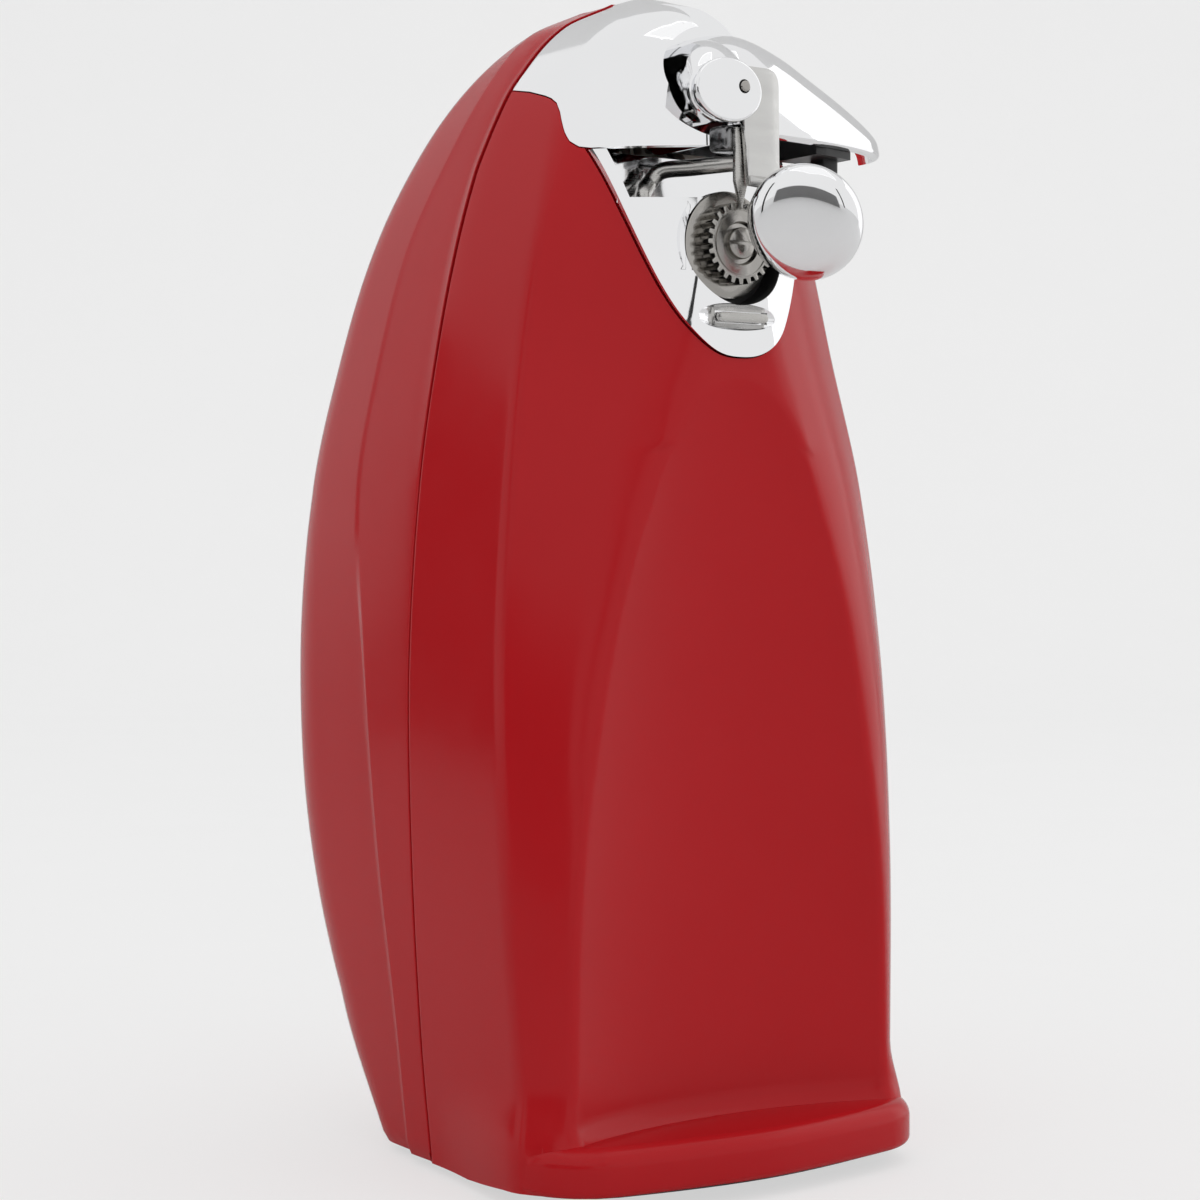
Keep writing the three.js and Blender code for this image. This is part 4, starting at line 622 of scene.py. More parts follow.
def lever_zone(shrink):
    """Region that the lever sweeps: a round socket at the pivot, open to the right."""
    radius = SOCKET_RADIUS - shrink
    x, z = PIVOT_X - SOCKET_SHIFT, PIVOT_Z + SOCKET_SHIFT
    rim = arc(x, z, radius, 70, 100, 248)
    return [(FAR, z + 40), (rim[0][0], z + 40)] + rim + [(rim[-1][0], z - 60), (FAR, z - 60)]


def boss_room():
    """Room that the boss takes while the lever lifts."""
    points = []
    around = ellipse(BOSS_X - PIVOT_X, BOSS_Z - PIVOT_Z,
                     BOSS_HALF_WIDTH + 2 * FIT, BOSS_HALF_HEIGHT + 2 * FIT)
    for angle in np.radians(LEVER_ANGLES):
        for x, z in around:
            points.append(Vector((PIVOT_X + x * math.cos(angle) - z * math.sin(angle),
                                  PIVOT_Z + x * math.sin(angle) + z * math.cos(angle))))
    return [tuple(points[i]) for i in convex_hull_2d(points)]


def beside_cap_line(shift, level):
    """All that lies between the cap's lower edge line, shifted by a gap, and a level."""
    line = [(y, z + shift) for y, z in zip(CAP_LINE_Y, CAP_LINE_Z)]
    outline = [(-FAR, level), (-FAR, line[0][1])] + line + [(FAR, line[-1][1]), (FAR, level)]
    return prism(outline, -FAR, FAR, axis="x")


def closed_volume(grid):
    """Closed volume behind a mirrored front grid."""
    rows, columns = grid.shape[:2]
    faces = grid_faces(rows, columns)
    for start in range(0, (rows - 1) * columns, columns):
        faces.append((start + columns - 1, start, start + columns, start + 2 * columns - 1))
    faces += [tuple(range(columns)), tuple(range((rows - 1) * columns, rows * columns))]
    return tidy_mesh(bare_object("tool", grid.reshape(-1, 3), faces))


# ---------- body shells
def ledge_fillet(grid):
    """Sweeps the foot of the front surface forward into the ledge."""
    drop = np.clip(LEDGE_Z + LEDGE_FILLET - grid[:, :, 2], 0, LEDGE_FILLET)
    swell = LEDGE_FILLET - np.sqrt(np.maximum(LEDGE_FILLET**2 - drop**2, 0))
    fall = np.clip((LEDGE_Z + 12 - grid[:, :, 2]) / 16, 0, 1)
    flare = LIP_FLARE * eased(fall)
    fade = eased(np.clip((LIP_FADE[1] - grid[:, :, 1]) / (LIP_FADE[1] - LIP_FADE[0]), 0, 1))
    side = np.clip((np.abs(grid[:, :, 0]) - 40) / 6, 0, 1)
    normals = grid_normals(grid)
    normals[:, :, 2] = 0
    return grid + normals * (fade * (flare * side + swell * 0.96 * (1 - side)))[..., None]


def bezier(a, b, c, d, count):
    t = np.linspace(0, 1, count)[:, None]
    a, b, c, d = (np.asarray(p, float) for p in (a, b, c, d))
    return (1 - t) ** 3 * a + 3 * t * (1 - t) ** 2 * b + 3 * t**2 * (1 - t) * c + t**3 * d


def lip_outline(inset):
    """Plan of the base lip: its front curve runs back and fades into the sides."""
    side = STATIONS[0][2] + LIP_FLARE
    front = LIP_Y
    run = np.concatenate([
        bezier((0, front), (9, front), (side - 24, front + 2.4), (side - 14, front + 4.5), 40),
        bezier((side - 14, front + 4.5), (side - 5, front + 6.8), (side, front + 14), (side, -23), 40)[1:],
        bezier((side, -23), (side - 0.1, -19), (side - 1.9, -15), (side - 4.6, -6), 24)[1:],
    ])
    step = np.gradient(run, axis=0)
    normal = np.column_stack([step[:, 1], -step[:, 0]])
    normal /= np.linalg.norm(normal, axis=1, keepdims=True)
    run = run - normal * inset
    run[0, 0] = 0
    right = run
    left = run[1:][::-1] * np.array([-1, 1])
    back = np.array([[36, -18], [20, -21], [0, -22], [-20, -21], [-36, -18]])
    return np.concatenate([left, right, back])


def lip_volume(inset, low, high, edge):
    """Lip as a closed loft: with edge, its top and, less so, its foot are rounded."""
    rings = [(low, 0), (high, 0)]
    if edge:
        rings = [(low + LIP_FOOT_EDGE * (1 - math.cos(t)), LIP_FOOT_EDGE * (1 - math.sin(t)))
                 for t in np.linspace(0, math.pi / 2, 7)]
        rings += [(high - LIP_EDGE * (1 - math.sin(t)), LIP_EDGE * (1 - math.cos(t)))
                  for t in np.linspace(0, math.pi / 2, 11)]
    return loft("lip", [[(x, y, z) for x, y in lip_outline(inset + shrink)] for z, shrink in rings])


def front_of(inset):
    return mirrored(surface(inset)[0])


def rear_of(inset):
    return mirrored(surface(inset)[1], middle_first=False)


front_full = front_of(0)


def close_top(grid, gap):
    return crown_rows(grid, (0.0, rim_y(CROWN_Z) + gap), 0.15)


def build_front_housing():
    low = LEVELS < 240
    grid = ledge_fillet(front_full[low])
    grid = roll_sides(grid)
    piece = shell_piece("front_shell", grid, front_of(SHELL_WALL)[low])
    carve(piece, lip_volume(0, LIP_Z, LEDGE_Z, True), "UNION")
    carve(piece, lip_volume(SHELL_WALL, -4, LEDGE_Z - SHELL_WALL, False))
    skirt = [(-FAR, -10), (-FAR, LIP_Z + 0.1), (-28, LIP_Z + 0.1), (-20, LIP_Z - 0.4), (-10, 2.6), (0, 1.8),
             (2, -10)]
    carve(piece, prism(skirt, -FAR, FAR, axis="x"))
    carve(piece, beside_cap_line(-FIT / 2, -50), "INTERSECT")
    back = HOLLOW_BACK_Y + HOLLOW_WALL + FIT
    floor = SHELF_Z - HOLLOW_WALL - FIT
    # A wall and a floor close the casing behind the gap on the right of the shelf.
    inside = closed_volume(front_of(SHELL_WALL / 2)[(LEVELS > 196) & (LEVELS < 230)])
    behind = block((HEAD_X, -FAR, floor - SHELL_WALL), (FAR, back + SHELL_WALL, PLATE_TOP_Z - 0.5))
    carve(inside, behind, "INTERSECT")
    carve(piece, inside, "UNION")
    carve(piece, prism(shield(FIT, SHELF_Z), -FAR, back))
    carve(piece, prism(hollow_outline(FIT, 224), -FAR, back))
    carve(piece, block((0, -FAR, floor), (FAR, back, 224)))
    return smooth(piece)


def build_rear_cover():
    grid = close_top(rear_of(0), FIT / 2)
    normals = grid_normals(grid)
    bead = np.zeros(grid.shape[:2])
    for column, height in SEAM_BEAD:
        bead[:, [column, -1 - column]] = height
    bead *= np.clip((grid[:, :, 2] - 150) / 60, 0, 1)
    grid = grid + normals * bead[..., None]
    grid = roll_sides(grid, 0.35)
    grid = roll_edge(grid, 0, -1, 0.8)
    piece = shell_piece("rear_shell", grid, close_top(rear_of(SHELL_WALL), FIT / 2))
    crest = []
    for y, rise in CREST_PROFILE:
        half = CREST_HALF_WIDTH * (1 - ((y - 5) / 40) ** 2)
        top = CROWN_Z + rise
        ring = []
        for angle in full_turn(40):
            arch = math.sin(angle)
            rise_here = CREST_DROP * arch**0.35 if arch > 0 else -2.0
            ring.append((half * math.cos(angle), y, top - CREST_DROP + rise_here))
        crest.append(ring)
    carve(piece, loft("crest", crest), "UNION")
    low, high = own_box("cord_gland")
    x, z = (low.x + high.x) / 2, (low.z + high.z) / 2
    flange = (high.x - low.x) / 2 + FIT
    bore(piece, flange - GLAND_FLANGE, 30, 120, x, z)
    bore(piece, flange, high.y - GLAND_FLANGE - FIT, 120, x, z)
    low, high = own_box("knife_guide")
    side = high.x + FIT
    carve(piece, block((-side, 60, low.z - FIT), (side, 120, high.z + FIT)))
    return smooth(piece)


def build_chrome_cap():
    high = LEVELS > 212
    grid = close_top(front_full[high], -FIT / 2)
    grid = roll_sides(grid, 0.35)
    volume = closed_volume(grid)
    piece = shell_piece("cap_shell", grid, close_top(front_of(CAP_WALL)[high], -FIT / 2))
    back = LEVER_BACK_Y + FIT
    wall = prism(lever_zone(-CAP_WALL), back, back + CAP_WALL)
    socket = prism(lever_zone(-SOCKET_WALL), -FAR, back + 0.5)
    carve(socket, prism(lever_zone(0), -FAR - 5, back))
    carve(socket, wall, "UNION")
    carve(socket, volume, "INTERSECT")
    carve(piece, socket, "UNION")
    carve(piece, beside_cap_line(FIT / 2, 320), "INTERSECT")
    carve(piece, prism(lever_zone(0), -FAR - 5, back))
    carve(piece, prism(boss_room(), -FAR - 5, HUB_STRAIGHT_Y - 2))
    bore(piece, POST_RADIUS + FIT, -30, 0, PIVOT_X, PIVOT_Z)
    return smooth(piece)


def build_face_plate():
    band = (LEVELS > 165) & (LEVELS < 236)
    top = PLATE_TOP_Z
    piece = shell_piece("plate", front_of(-PLATE_PROUD)[band], front_of(HOLLOW_WALL)[band])
    tray = closed_volume(front_full[band])
    for shape in (piece, tray):
        carve(shape, prism(shield(0, top), -FAR, HOLLOW_BACK_Y + HOLLOW_WALL), "INTERSECT")
    carve(piece, block((-FAR, -FAR, 100), (FAR, 0, top)), "INTERSECT")
    carve(tray, block((-FAR, -FAR, SHELF_Z - HOLLOW_WALL), (HOLLOW_RIGHT_X, 0, top)), "INTERSECT")
    carve(piece, tray, "UNION")
    carve(piece, prism(hollow_outline(-HOLLOW_WALL, top + 1), -FAR, HOLLOW_BACK_Y))
    carve(piece, block((HOLLOW_RIGHT_X, -FAR, SHELF_Z), (FAR, 0, CROWN_Z)))
    well = turned("well", [(WELL_RADIUS + 1.3, WELL_FLOOR_Y - 4.6), (WELL_RADIUS + 1.3, WELL_FLOOR_Y + 1.8)],
                  (HEAD_X, 0, WHEEL_Z))
    carve(well, block((-FAR, -FAR, 0), (FAR, 0, SHELF_Z)), "INTERSECT")
    carve(piece, well, "UNION")
    bore(piece, WELL_RADIUS, -FAR, WELL_FLOOR_Y, HEAD_X, WHEEL_Z, 96)
    bore(piece, SHAFT_RADIUS + 1, -FAR, 0, HEAD_X, WHEEL_Z)
    select_none()
    bpy.ops.mesh.primitive_uv_sphere_add(
        segments=64, ring_count=32, radius=1, scale=Vector(SCOOP_RADII) * MM,
        location=(Vector((REST_X - 2, REST_FRONT_Y - 0.5, REST_Z)) + OFFSET) * MM)
    scoop = bpy.context.object
    bpy.ops.object.transform_apply(location=True, rotation=True, scale=True)
    carve(piece, scoop)
    half = REST_LENGTH / 2 + FIT
    slot_high = (REST_X + half, REST_BACK_Y + FIT, REST_Z + 1 + FIT)
    carve(piece, block((REST_X - half, -FAR, REST_Z - 1 - FIT), slot_high))
    return smooth(piece)


def paint_well_shade(piece, material):
    """Gives the faces inside the wheel's well a second material: painted shade, black on the well's walls and
    floor.
    """
    piece.data.materials.append(material)
    for face in piece.data.polygons:
        place = face.center / MM - OFFSET
        reach = math.hypot(place.x - HEAD_X, place.z - WHEEL_Z)
        if reach < WELL_RADIUS + 0.06 and place.y > WHEEL_FACE_Y + 1.3:
            face.material_index = 1


# ---------- lever and magnet
def spline(points, steps=8):
    """Smooth curve through points."""
    points = np.asarray(points, float)
    padded = np.concatenate([[2 * points[0] - points[1]], points, [2 * points[-1] - points[-2]]])
    line = []
    for i in range(1, len(padded) - 2):
        a, b, c, d = padded[i - 1:i + 3]
        for t in np.linspace(0, 1, steps, endpoint=False):
            line.append(0.5 * (2 * b + (c - a) * t + (2 * a - 5 * b + 4 * c - d) * t**2
                               + (3 * b - a - 3 * c + d) * t**3))
    line.append(points[-1])
    return np.array(line)


def wing_outline(inset, floor):
    top = np.array([
        (PIVOT_X, PIVOT_Z + HUB_RADIUS), (PIVOT_X + 4.4, PIVOT_Z + 11.4), (7, 250), (13, 249.6), (22, 246.6),
        (31, 242.2), (40, 237.6), (47.5, 233.2), (51.8, 229.8), (LEVER_TIP_X, 226.8),
    ]) - inset
    line = spline(top)
    if inset:
        tail = [(LEVER_TIP_X - inset, floor)]
    else:
        nose = bezier((LEVER_TIP_X, 226.8), (LEVER_TIP_X + 0.1, 225.6), (52, 225.2), (50, 225.1), 10)
        tail = nose[1:].tolist() + [(44, 224.7), (40, 224.4)]
        tail += [(x, 224.4 - 0.8 * (40 - x) / 43) for x in np.linspace(36, 0, 10)]
    return np.concatenate([[(PIVOT_X, floor)], line, tail])


def wing(inset, floor):
    """Hooded wing: its outline shrinks towards the hub as it comes forward."""
    outline = wing_outline(inset, floor)
    reach = LEVER_BACK_Y - LEVER_FRONT_Y - inset
    rings = []
    shares = np.sin(np.linspace(0, math.pi / 2, 44))[:-1]
    if not inset:
        shares = np.concatenate([[0, 0.012], shares[shares > 0.03]])
    for k, share in enumerate(shares):
        scale = (1 - share**2.3) ** (1 / 2.1) if share else 1.0
        y = LEVER_BACK_Y - reach * share if share or not inset else LEVER_BACK_Y + 2
        tuck = 0.994 if k == 0 and not inset else 1.0
        ring = []
        for x, z in outline:
            height = 226 + (z - 226) * scale * tuck
            ring.append((x * scale * tuck, y, height if not inset else min(height, z)))
        rings.append(ring)
    return loft("lever_shell", rings)


def build_lever():
    piece = wing(0, LEVER_FOOT_Z)
    carve(piece, wing(LEVER_WALL, 215))
    bolt_head = BOSS_FACE_Y + BOSS_PLATE
    hub_front = bolt_head + ARM_SHEET + 2 * FIT

    def hub_ring(y, share, shrink=0.0):
        x, z = PIVOT_X + (BOSS_X - PIVOT_X) * share, PIVOT_Z + (BOSS_Z - PIVOT_Z) * share
        width = HUB_RADIUS + (BOSS_HALF_WIDTH - 0.7 - HUB_RADIUS) * share - shrink
        height = HUB_RADIUS + (BOSS_HALF_HEIGHT - 0.4 - HUB_RADIUS) * share - shrink
        return [(a, y, b) for a, b in ellipse(x, z, width, height, 96)]

    rings = [hub_ring(LEVER_BACK_Y, 0)]
    for t in np.linspace(0, 1, 22):
        share = t**1.7 * (1 - 0.15 * math.sin(math.pi * t))
        rings.append(hub_ring(HUB_STRAIGHT_Y + (hub_front + 0.6 - HUB_STRAIGHT_Y) * t, share))
    rings.append(hub_ring(hub_front + 0.25, 1, 0.15))
    rings.append(hub_ring(hub_front, 1, 0.6))
    carve(piece, loft("hub", rings), "UNION")
    boss = []
    for y, shrink in ((BOSS_FACE_Y, 0.55), (BOSS_FACE_Y + 0.08, 0.25), (BOSS_FACE_Y + 0.3, 0.05),
                      (BOSS_FACE_Y + 0.6, 0), (bolt_head - 0.3, 0), (bolt_head, 0.3)):
        outline = ellipse(BOSS_X, BOSS_Z, BOSS_HALF_WIDTH - shrink, BOSS_HALF_HEIGHT - shrink, 96)
        boss.append([(a, y, b) for a, b in outline])
    carve(piece, loft("boss", boss), "UNION")
    core = ellipse(BOSS_X, BOSS_Z, BOSS_HALF_WIDTH - 2, BOSS_HALF_HEIGHT - 2)
    bridge = prism(core, bolt_head - 0.2, hub_front + 0.5)
    carve(bridge, block((-FAR, -FAR, 0), (PIN_X - ARM_EYE_RADIUS - 2 * FIT, 0, 300)), "INTERSECT")
    carve(piece, bridge, "UNION")
    bore(piece, POST_RADIUS + FIT, -32, 0, PIVOT_X, PIVOT_Z)
    bore(piece, PIN_RADIUS + FIT, -60, hub_front + 5, PIN_X, PIN_Z)
    seat = np.array([HEAD_X, BLADE_Y, PIVOT_Z - HUB_RADIUS - 1.4])
    carve(piece, block(seat + HOLDER_LOW - (FIT, 0, 0), seat + HOLDER_HIGH + (FIT, 0, FIT)))
    return smooth(piece)


def edge_bevel(piece, width, segments=3, angle=35):
    return modify(piece, "BEVEL", width=width * MM, segments=segments, limit_method="ANGLE",
                  angle_limit=math.radians(angle), harden_normals=False)


def build_magnet_arm():
    arm_y = BOSS_FACE_Y + BOSS_PLATE + FIT
    outline = arc(0, 0, ARM_EYE_RADIUS, 40, 90, 300) + [(1.2, -6.4), (2.6, -20.5), (14.5, -20.5)]
    outline += bezier((14.5, -20.5), (12.6, -19.4), (11, -18.6), (10.8, -15.5), 12)[1:].tolist()
    outline += bezier((10.6, 0.4), (10.6, 3.4), (9.6, ARM_EYE_RADIUS), (6.9, ARM_EYE_RADIUS), 16).tolist()
    outline = [(PIN_X + x, PIN_Z + z) for x, z in outline]
    piece = prism(outline, arm_y, arm_y + ARM_SHEET, name="magnet_bracket")
    sheet = [(arm_y + ARM_SHEET, PIN_Z - 20.5), (arm_y + ARM_SHEET, PIN_Z - 18.8), (arm_y, PIN_Z - 18.4),
             (arm_y - 8.5, PIN_Z - 21.2), (arm_y - 8.5, PIN_Z - 22.6)]
    carve(piece, prism(sheet, PIN_X + 2.8, PIN_X + 14.4, axis="x"), "UNION")
    bore(piece, PIN_RADIUS + FIT, -60, 0, PIN_X, PIN_Z)
    carve(piece, magnet_cup("tool", FIT, MAGNET_DEPTH + FIT))
    edge_bevel(piece, 0.16, 2, 50)
    return smooth(piece)


def at_magnet(name, profile):
    """Turned piece whose axis runs from the magnet's face inwards."""
    return turned(name, profile, MAGNET_FACE, axis=-MAGNET_NORMAL, sides=128)


def magnet_cup(name, grow, depth):
    """Cup with a gently domed face that looks along the magnet's normal."""
    radius = MAGNET_RADIUS + grow
    face = bezier((0.02, -1.7 - grow), (radius * 0.6, -1.7 - grow), (radius - 0.4, -0.7 - grow),
                  (radius, 3.4), 40)
    dome = bezier((radius, depth * 0.42), (radius, depth * 0.72), (radius - 4.6, depth * 0.94),
                  (radius - 8, depth), 16)
    return at_magnet(name, [*face[:-1], *dome, (0.02, depth + 0.02)])


def build_magnet_housing():
    piece = magnet_cup("magnet_cup", 0, MAGNET_DEPTH)
    carve(piece, at_magnet("tool", [(MAGNET_RADIUS - 2.6, 0.1), (MAGNET_RADIUS - 2.6, 2.6)]))
    return smooth(piece)


def build_magnet():
    radius = MAGNET_RADIUS - 2.9
    profile = [(0.02, 0.2), (radius - 0.4, 0.2), (radius - 0.1, 0.32), (radius, 0.6), (radius, 2.3)]
    return smooth(at_magnet("magnet_disc", profile + [(0.02, 2.3)]))


# ---------- steel pieces of the head
def build_drive_wheel():
    outline = []
    pitch = 2 * math.pi / WHEEL_TEETH
    tip = WHEEL_TOOTH_RADIUS
    root = tip - 1.2
    for i in range(WHEEL_TEETH):
        for radius, share in ((root, -0.3), (tip, -0.2), (tip, 0.2), (root, 0.3)):
            angle = (i + share) * pitch
            outline.append((HEAD_X + radius * math.cos(angle), WHEEL_Z + radius * math.sin(angle)))
    piece = prism(outline, WHEEL_FACE_Y, WHEEL_FACE_Y + WHEEL_DEPTH - 2.5, name="toothed_wheel")
    edge_bevel(piece, 0.14, 2, 40)
    back = WHEEL_FACE_Y + WHEEL_DEPTH
    centre = (HEAD_X, 0, WHEEL_Z)
    rim = WHEEL_RADIUS
    shoulder = [(rim - 0.5, back - 2.5), (rim - 0.15, back - 2.38), (rim, back - 2.05), (rim, back - 0.2),
                (rim - 0.2, back)]
    carve(piece, turned("shoulder", shoulder, centre, sides=96), "UNION")
    dish = [(5.0, WHEEL_FACE_Y - 1), (4.6, WHEEL_FACE_Y + 0.5), (4.3, WHEEL_FACE_Y + 1)]
    carve(piece, turned("tool", dish, centre, sides=96))
    groove = turned("tool", [(7.1, WHEEL_FACE_Y - 1), (7.1, WHEEL_FACE_Y + 0.25)], centre, sides=96)
    bore(groove, 6.7, WHEEL_FACE_Y - 2, WHEEL_FACE_Y + 1, HEAD_X, WHEEL_Z, 96)
    carve(piece, groove)
    bore(piece, SHAFT_RADIUS + FIT, WHEEL_FACE_Y + 3, 0, HEAD_X, WHEEL_Z)
    bore(piece, 1.8, -60, 0, HEAD_X, WHEEL_Z)
    return smooth(piece, 30)


def build_wheel_bolt():
    face = WHEEL_FACE_Y
    head = [(0.02, face - 0.95), (1.4, face - 0.9), (2.6, face - 0.72), (3.2, face - 0.45), (3.4, face - 0.1)]
    profile = head + [(3.4, face + 0.9), (1.5, face + 0.9), (1.5, face + 9), (0.02, face + 9)]
    piece = turned("bolt", profile, (HEAD_X, 0, WHEEL_Z), sides=72)
    carve(piece, block((HEAD_X - 4, face - 2, WHEEL_Z - 0.4), (HEAD_X + 4, face - 0.1, WHEEL_Z + 0.4)))
    return smooth(piece)


def build_guide_rod():
    tip = np.array([HEAD_X - 0.7, BLADE_Y + 2.3, SHELF_Z + 8.1])
    foot = np.array([ROD_FOOT[0], ROD_FOOT[1], SHELF_Z - 1])
    bend = np.array([ROD_FOOT[0] + 3.5, ROD_FOOT[1] + 1.2, SHELF_Z + 6.9])
    rise = np.array([foot[0], foot[1], foot[2] + (bend[2] - foot[2]) * 0.35])
    way = [foot, rise, bend + (foot - bend) * 0.3, bend + (tip - bend) * 0.12, bend + (tip - bend) * 0.5, tip]
    path = spline(way, 12)
    tangent = np.gradient(path, axis=0)
    tangent /= np.linalg.norm(tangent, axis=1, keepdims=True)
    frames = [(point, ROD_RADIUS, along) for point, along in zip(path, tangent)]
    for angle in np.linspace(0, 1.5, 9)[1:]:
        bead = path[-1] + tangent[-1] * ROD_RADIUS * math.sin(angle)
        frames.append((bead, ROD_RADIUS * math.cos(angle), tangent[-1]))
    rings = []
    side = np.cross(tangent[0], [1.0, 0.0, 0.0])
    for point, radius, along in frames:
        side = side - along * (side @ along)
        side /= np.linalg.norm(side)
        other = np.cross(along, side)
        rings.append([point + radius * (side * math.cos(a) + other * math.sin(a)) for a in full_turn(40)])
    return smooth(loft("rim_rod", rings))


def build_rest_bar():
    low, high = REST_X - REST_LENGTH / 2, REST_X + REST_LENGTH / 2
    outline = arc(high - 1, REST_Z, 1, 20, -90, 90) + arc(low + 1, REST_Z, 1, 20, 90, 270)
    piece = prism(outline, REST_FRONT_Y, REST_BACK_Y, name="rest_bar")
    edge_bevel(piece, 0.25, 3, 50)
    return smooth(piece)


def build_cutter():
    top = PIVOT_Z - HUB_RADIUS - 2.0
    tip_x, tip_z = HEAD_X - 0.9, WHEEL_Z + WHEEL_TOOTH_RADIUS - 1.8
    outline = [(tip_x - 1.7, top), (tip_x - 1.7, tip_z + 6), (tip_x, tip_z), (tip_x + 1.6, tip_z + 6),
               (tip_x + 1.6, top)]
    piece = prism(outline, BLADE_Y - BLADE_SHEET, BLADE_Y, name="cutter_point")
    edge_bevel(piece, 0.1, 2, 40)
    return smooth(piece, 30)


def build_liner():
    """Black liner under the hood, with a short neck below it."""
    piece = wing(LEVER_WALL + FIT, 220)
    piece.name = "grip_liner"
    carve(piece, block(LINER_LOW, LINER_HIGH), "INTERSECT")
    neck = block(NECK_LOW, NECK_HIGH)
    edge_bevel(neck, 1.2, 4)
    carve(piece, neck, "UNION")
    return smooth(piece)


def refined(node, name, width, segments=3, angle=35):
    """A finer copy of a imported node: its edges softened, its mesh placed at the origin."""
    source = frame["nodes"][node]
    mesh = source.data.copy()
    mesh.transform(source.matrix_world)
    piece = put_in_scene(name, mesh)
    work = bmesh.new()
    work.from_mesh(mesh)
    bmesh.ops.remove_doubles(work, verts=work.verts, dist=2e-6)
    bmesh.ops.dissolve_limit(work, angle_limit=math.radians(1), verts=work.verts, edges=work.edges)
    work.to_mesh(mesh)
    work.free()
    edge_bevel(piece, width, segments, angle)
    return smooth(piece)


# ---------- materials
def add_node(made, kind, values, feeds, **settings):
    """Adds a shader node with its settings, its sockets' values and what feeds its sockets."""
    node = made.node_tree.nodes.new("ShaderNode" + kind)
    for key, value in settings.items():
        setattr(node, key, value)
    for socket, value in values.items():
        node.inputs[socket].default_value = value
    for socket, source in feeds.items():
        made.node_tree.links.new(source, node.inputs[socket])
    return node


def material(name, first, second, rough, metallic=0.0, scale=60.0, bump=0.0, bump_scale=900.0,
             stretch=(1, 1, 1), distance=0.0002, ior=1.5, shine=0.5):
    """Surface whose colour, roughness and relief vary with noise over the object's own coordinates."""
    made = bpy.data.materials.new(name)
    made.use_nodes = True
    place = add_node(made, "TexCoord", {}, {}).outputs["Object"]
    place = add_node(made, "Mapping", {"Scale": stretch}, {"Vector": place}).outputs["Vector"]

    def noise(size, detail):
        return add_node(made, "TexNoise", {"Scale": size, "Detail": detail}, {"Vector": place}).outputs["Fac"]

    tint = add_node(made, "Mix", {"A": (*first, 1), "B": (*second, 1)}, {"Factor": noise(scale, 4.0)},
                    data_type="RGBA")
    spread = add_node(made, "MapRange", {"From Min": 0.3, "From Max": 0.7, "To Min": rough[0],
                                         "To Max": rough[1]}, {"Value": noise(scale * 2.7, 4.0)})
    feeds = {"Base Color": tint.outputs["Result"], "Roughness": spread.outputs["Result"]}
    if bump:
        relief = add_node(made, "Bump", {"Strength": bump, "Distance": distance},
                          {"Height": noise(bump_scale, 3.0)})
        feeds["Normal"] = relief.outputs["Normal"]
    shader = made.node_tree.nodes["Principled BSDF"]
    for socket, value in {"Metallic": metallic, "IOR": ior, "Specular IOR Level": shine}.items():
        shader.inputs[socket].default_value = value
    for socket, source in feeds.items():
        made.node_tree.links.new(source, shader.inputs[socket])
    return made


red = material(
    "gloss_red_plastic", (0.48, 0.008, 0.012), (0.52, 0.011, 0.016), (0.15, 0.21), scale=24, ior=1.32,
    shine=0.42, bump=0.06, bump_scale=420, distance=0.00012)
chrome = material(
    "polished_chrome", (0.91, 0.913, 0.922), (0.95, 0.953, 0.962), (0.035, 0.075), metallic=1.0, scale=30,
    bump=0.03, bump_scale=260, distance=0.00008)
satin = material(
    "satin_nickel", (0.60, 0.595, 0.585), (0.72, 0.715, 0.70), (0.16, 0.26), metallic=1.0, scale=45,
    bump=0.05, bump_scale=500, stretch=(1, 1, 8), distance=0.00005)
steel = material(
    "turned_steel", (0.34, 0.325, 0.305), (0.50, 0.485, 0.46), (0.12, 0.24), metallic=1.0, scale=90,
    bump=0.12, bump_scale=1400, distance=0.00006)
edge_steel = material(
    "ground_steel", (0.46, 0.45, 0.43), (0.62, 0.61, 0.59), (0.2, 0.32), metallic=1.0, scale=80, bump=0.05,
    bump_scale=700, stretch=(1, 1, 14), distance=0.00005)
dark_iron = material(
    "ground_iron", (0.24, 0.24, 0.245), (0.36, 0.36, 0.365), (0.16, 0.28), metallic=1.0, scale=120,
    bump=0.2, bump_scale=900)
black = material(
    "black_plastic", (0.008, 0.008, 0.008), (0.013, 0.013, 0.014), (0.36, 0.5), scale=70, bump=0.15,
    bump_scale=1600, distance=0.00008)
rubber = material(
    "foot_rubber", (0.010, 0.010, 0.010), (0.016, 0.016, 0.016), (0.7, 0.88), scale=90, bump=0.25,
    bump_scale=1800, distance=0.0001)
white = material(
    "white_plastic", (0.74, 0.71, 0.63), (0.8, 0.77, 0.7), (0.4, 0.55), scale=80, bump=0.1,
    bump_scale=1300)
brass = material(
    "worn_brass", (0.46, 0.3, 0.085), (0.55, 0.37, 0.12), (0.24, 0.38), metallic=1.0, scale=90, bump=0.1,
    bump_scale=1200, distance=0.00005)
copper = material(
    "lacquered_wire", (0.40, 0.12, 0.045), (0.5, 0.17, 0.07), (0.3, 0.42), metallic=0.9, scale=60,
    bump=0.5, bump_scale=700, stretch=(6, 1, 6), distance=0.0002)
stone = material(
    "grinding_stone", (0.22, 0.27, 0.31), (0.36, 0.41, 0.45), (0.85, 0.98), scale=900, bump=0.7,
    bump_scale=1500, distance=0.00015)

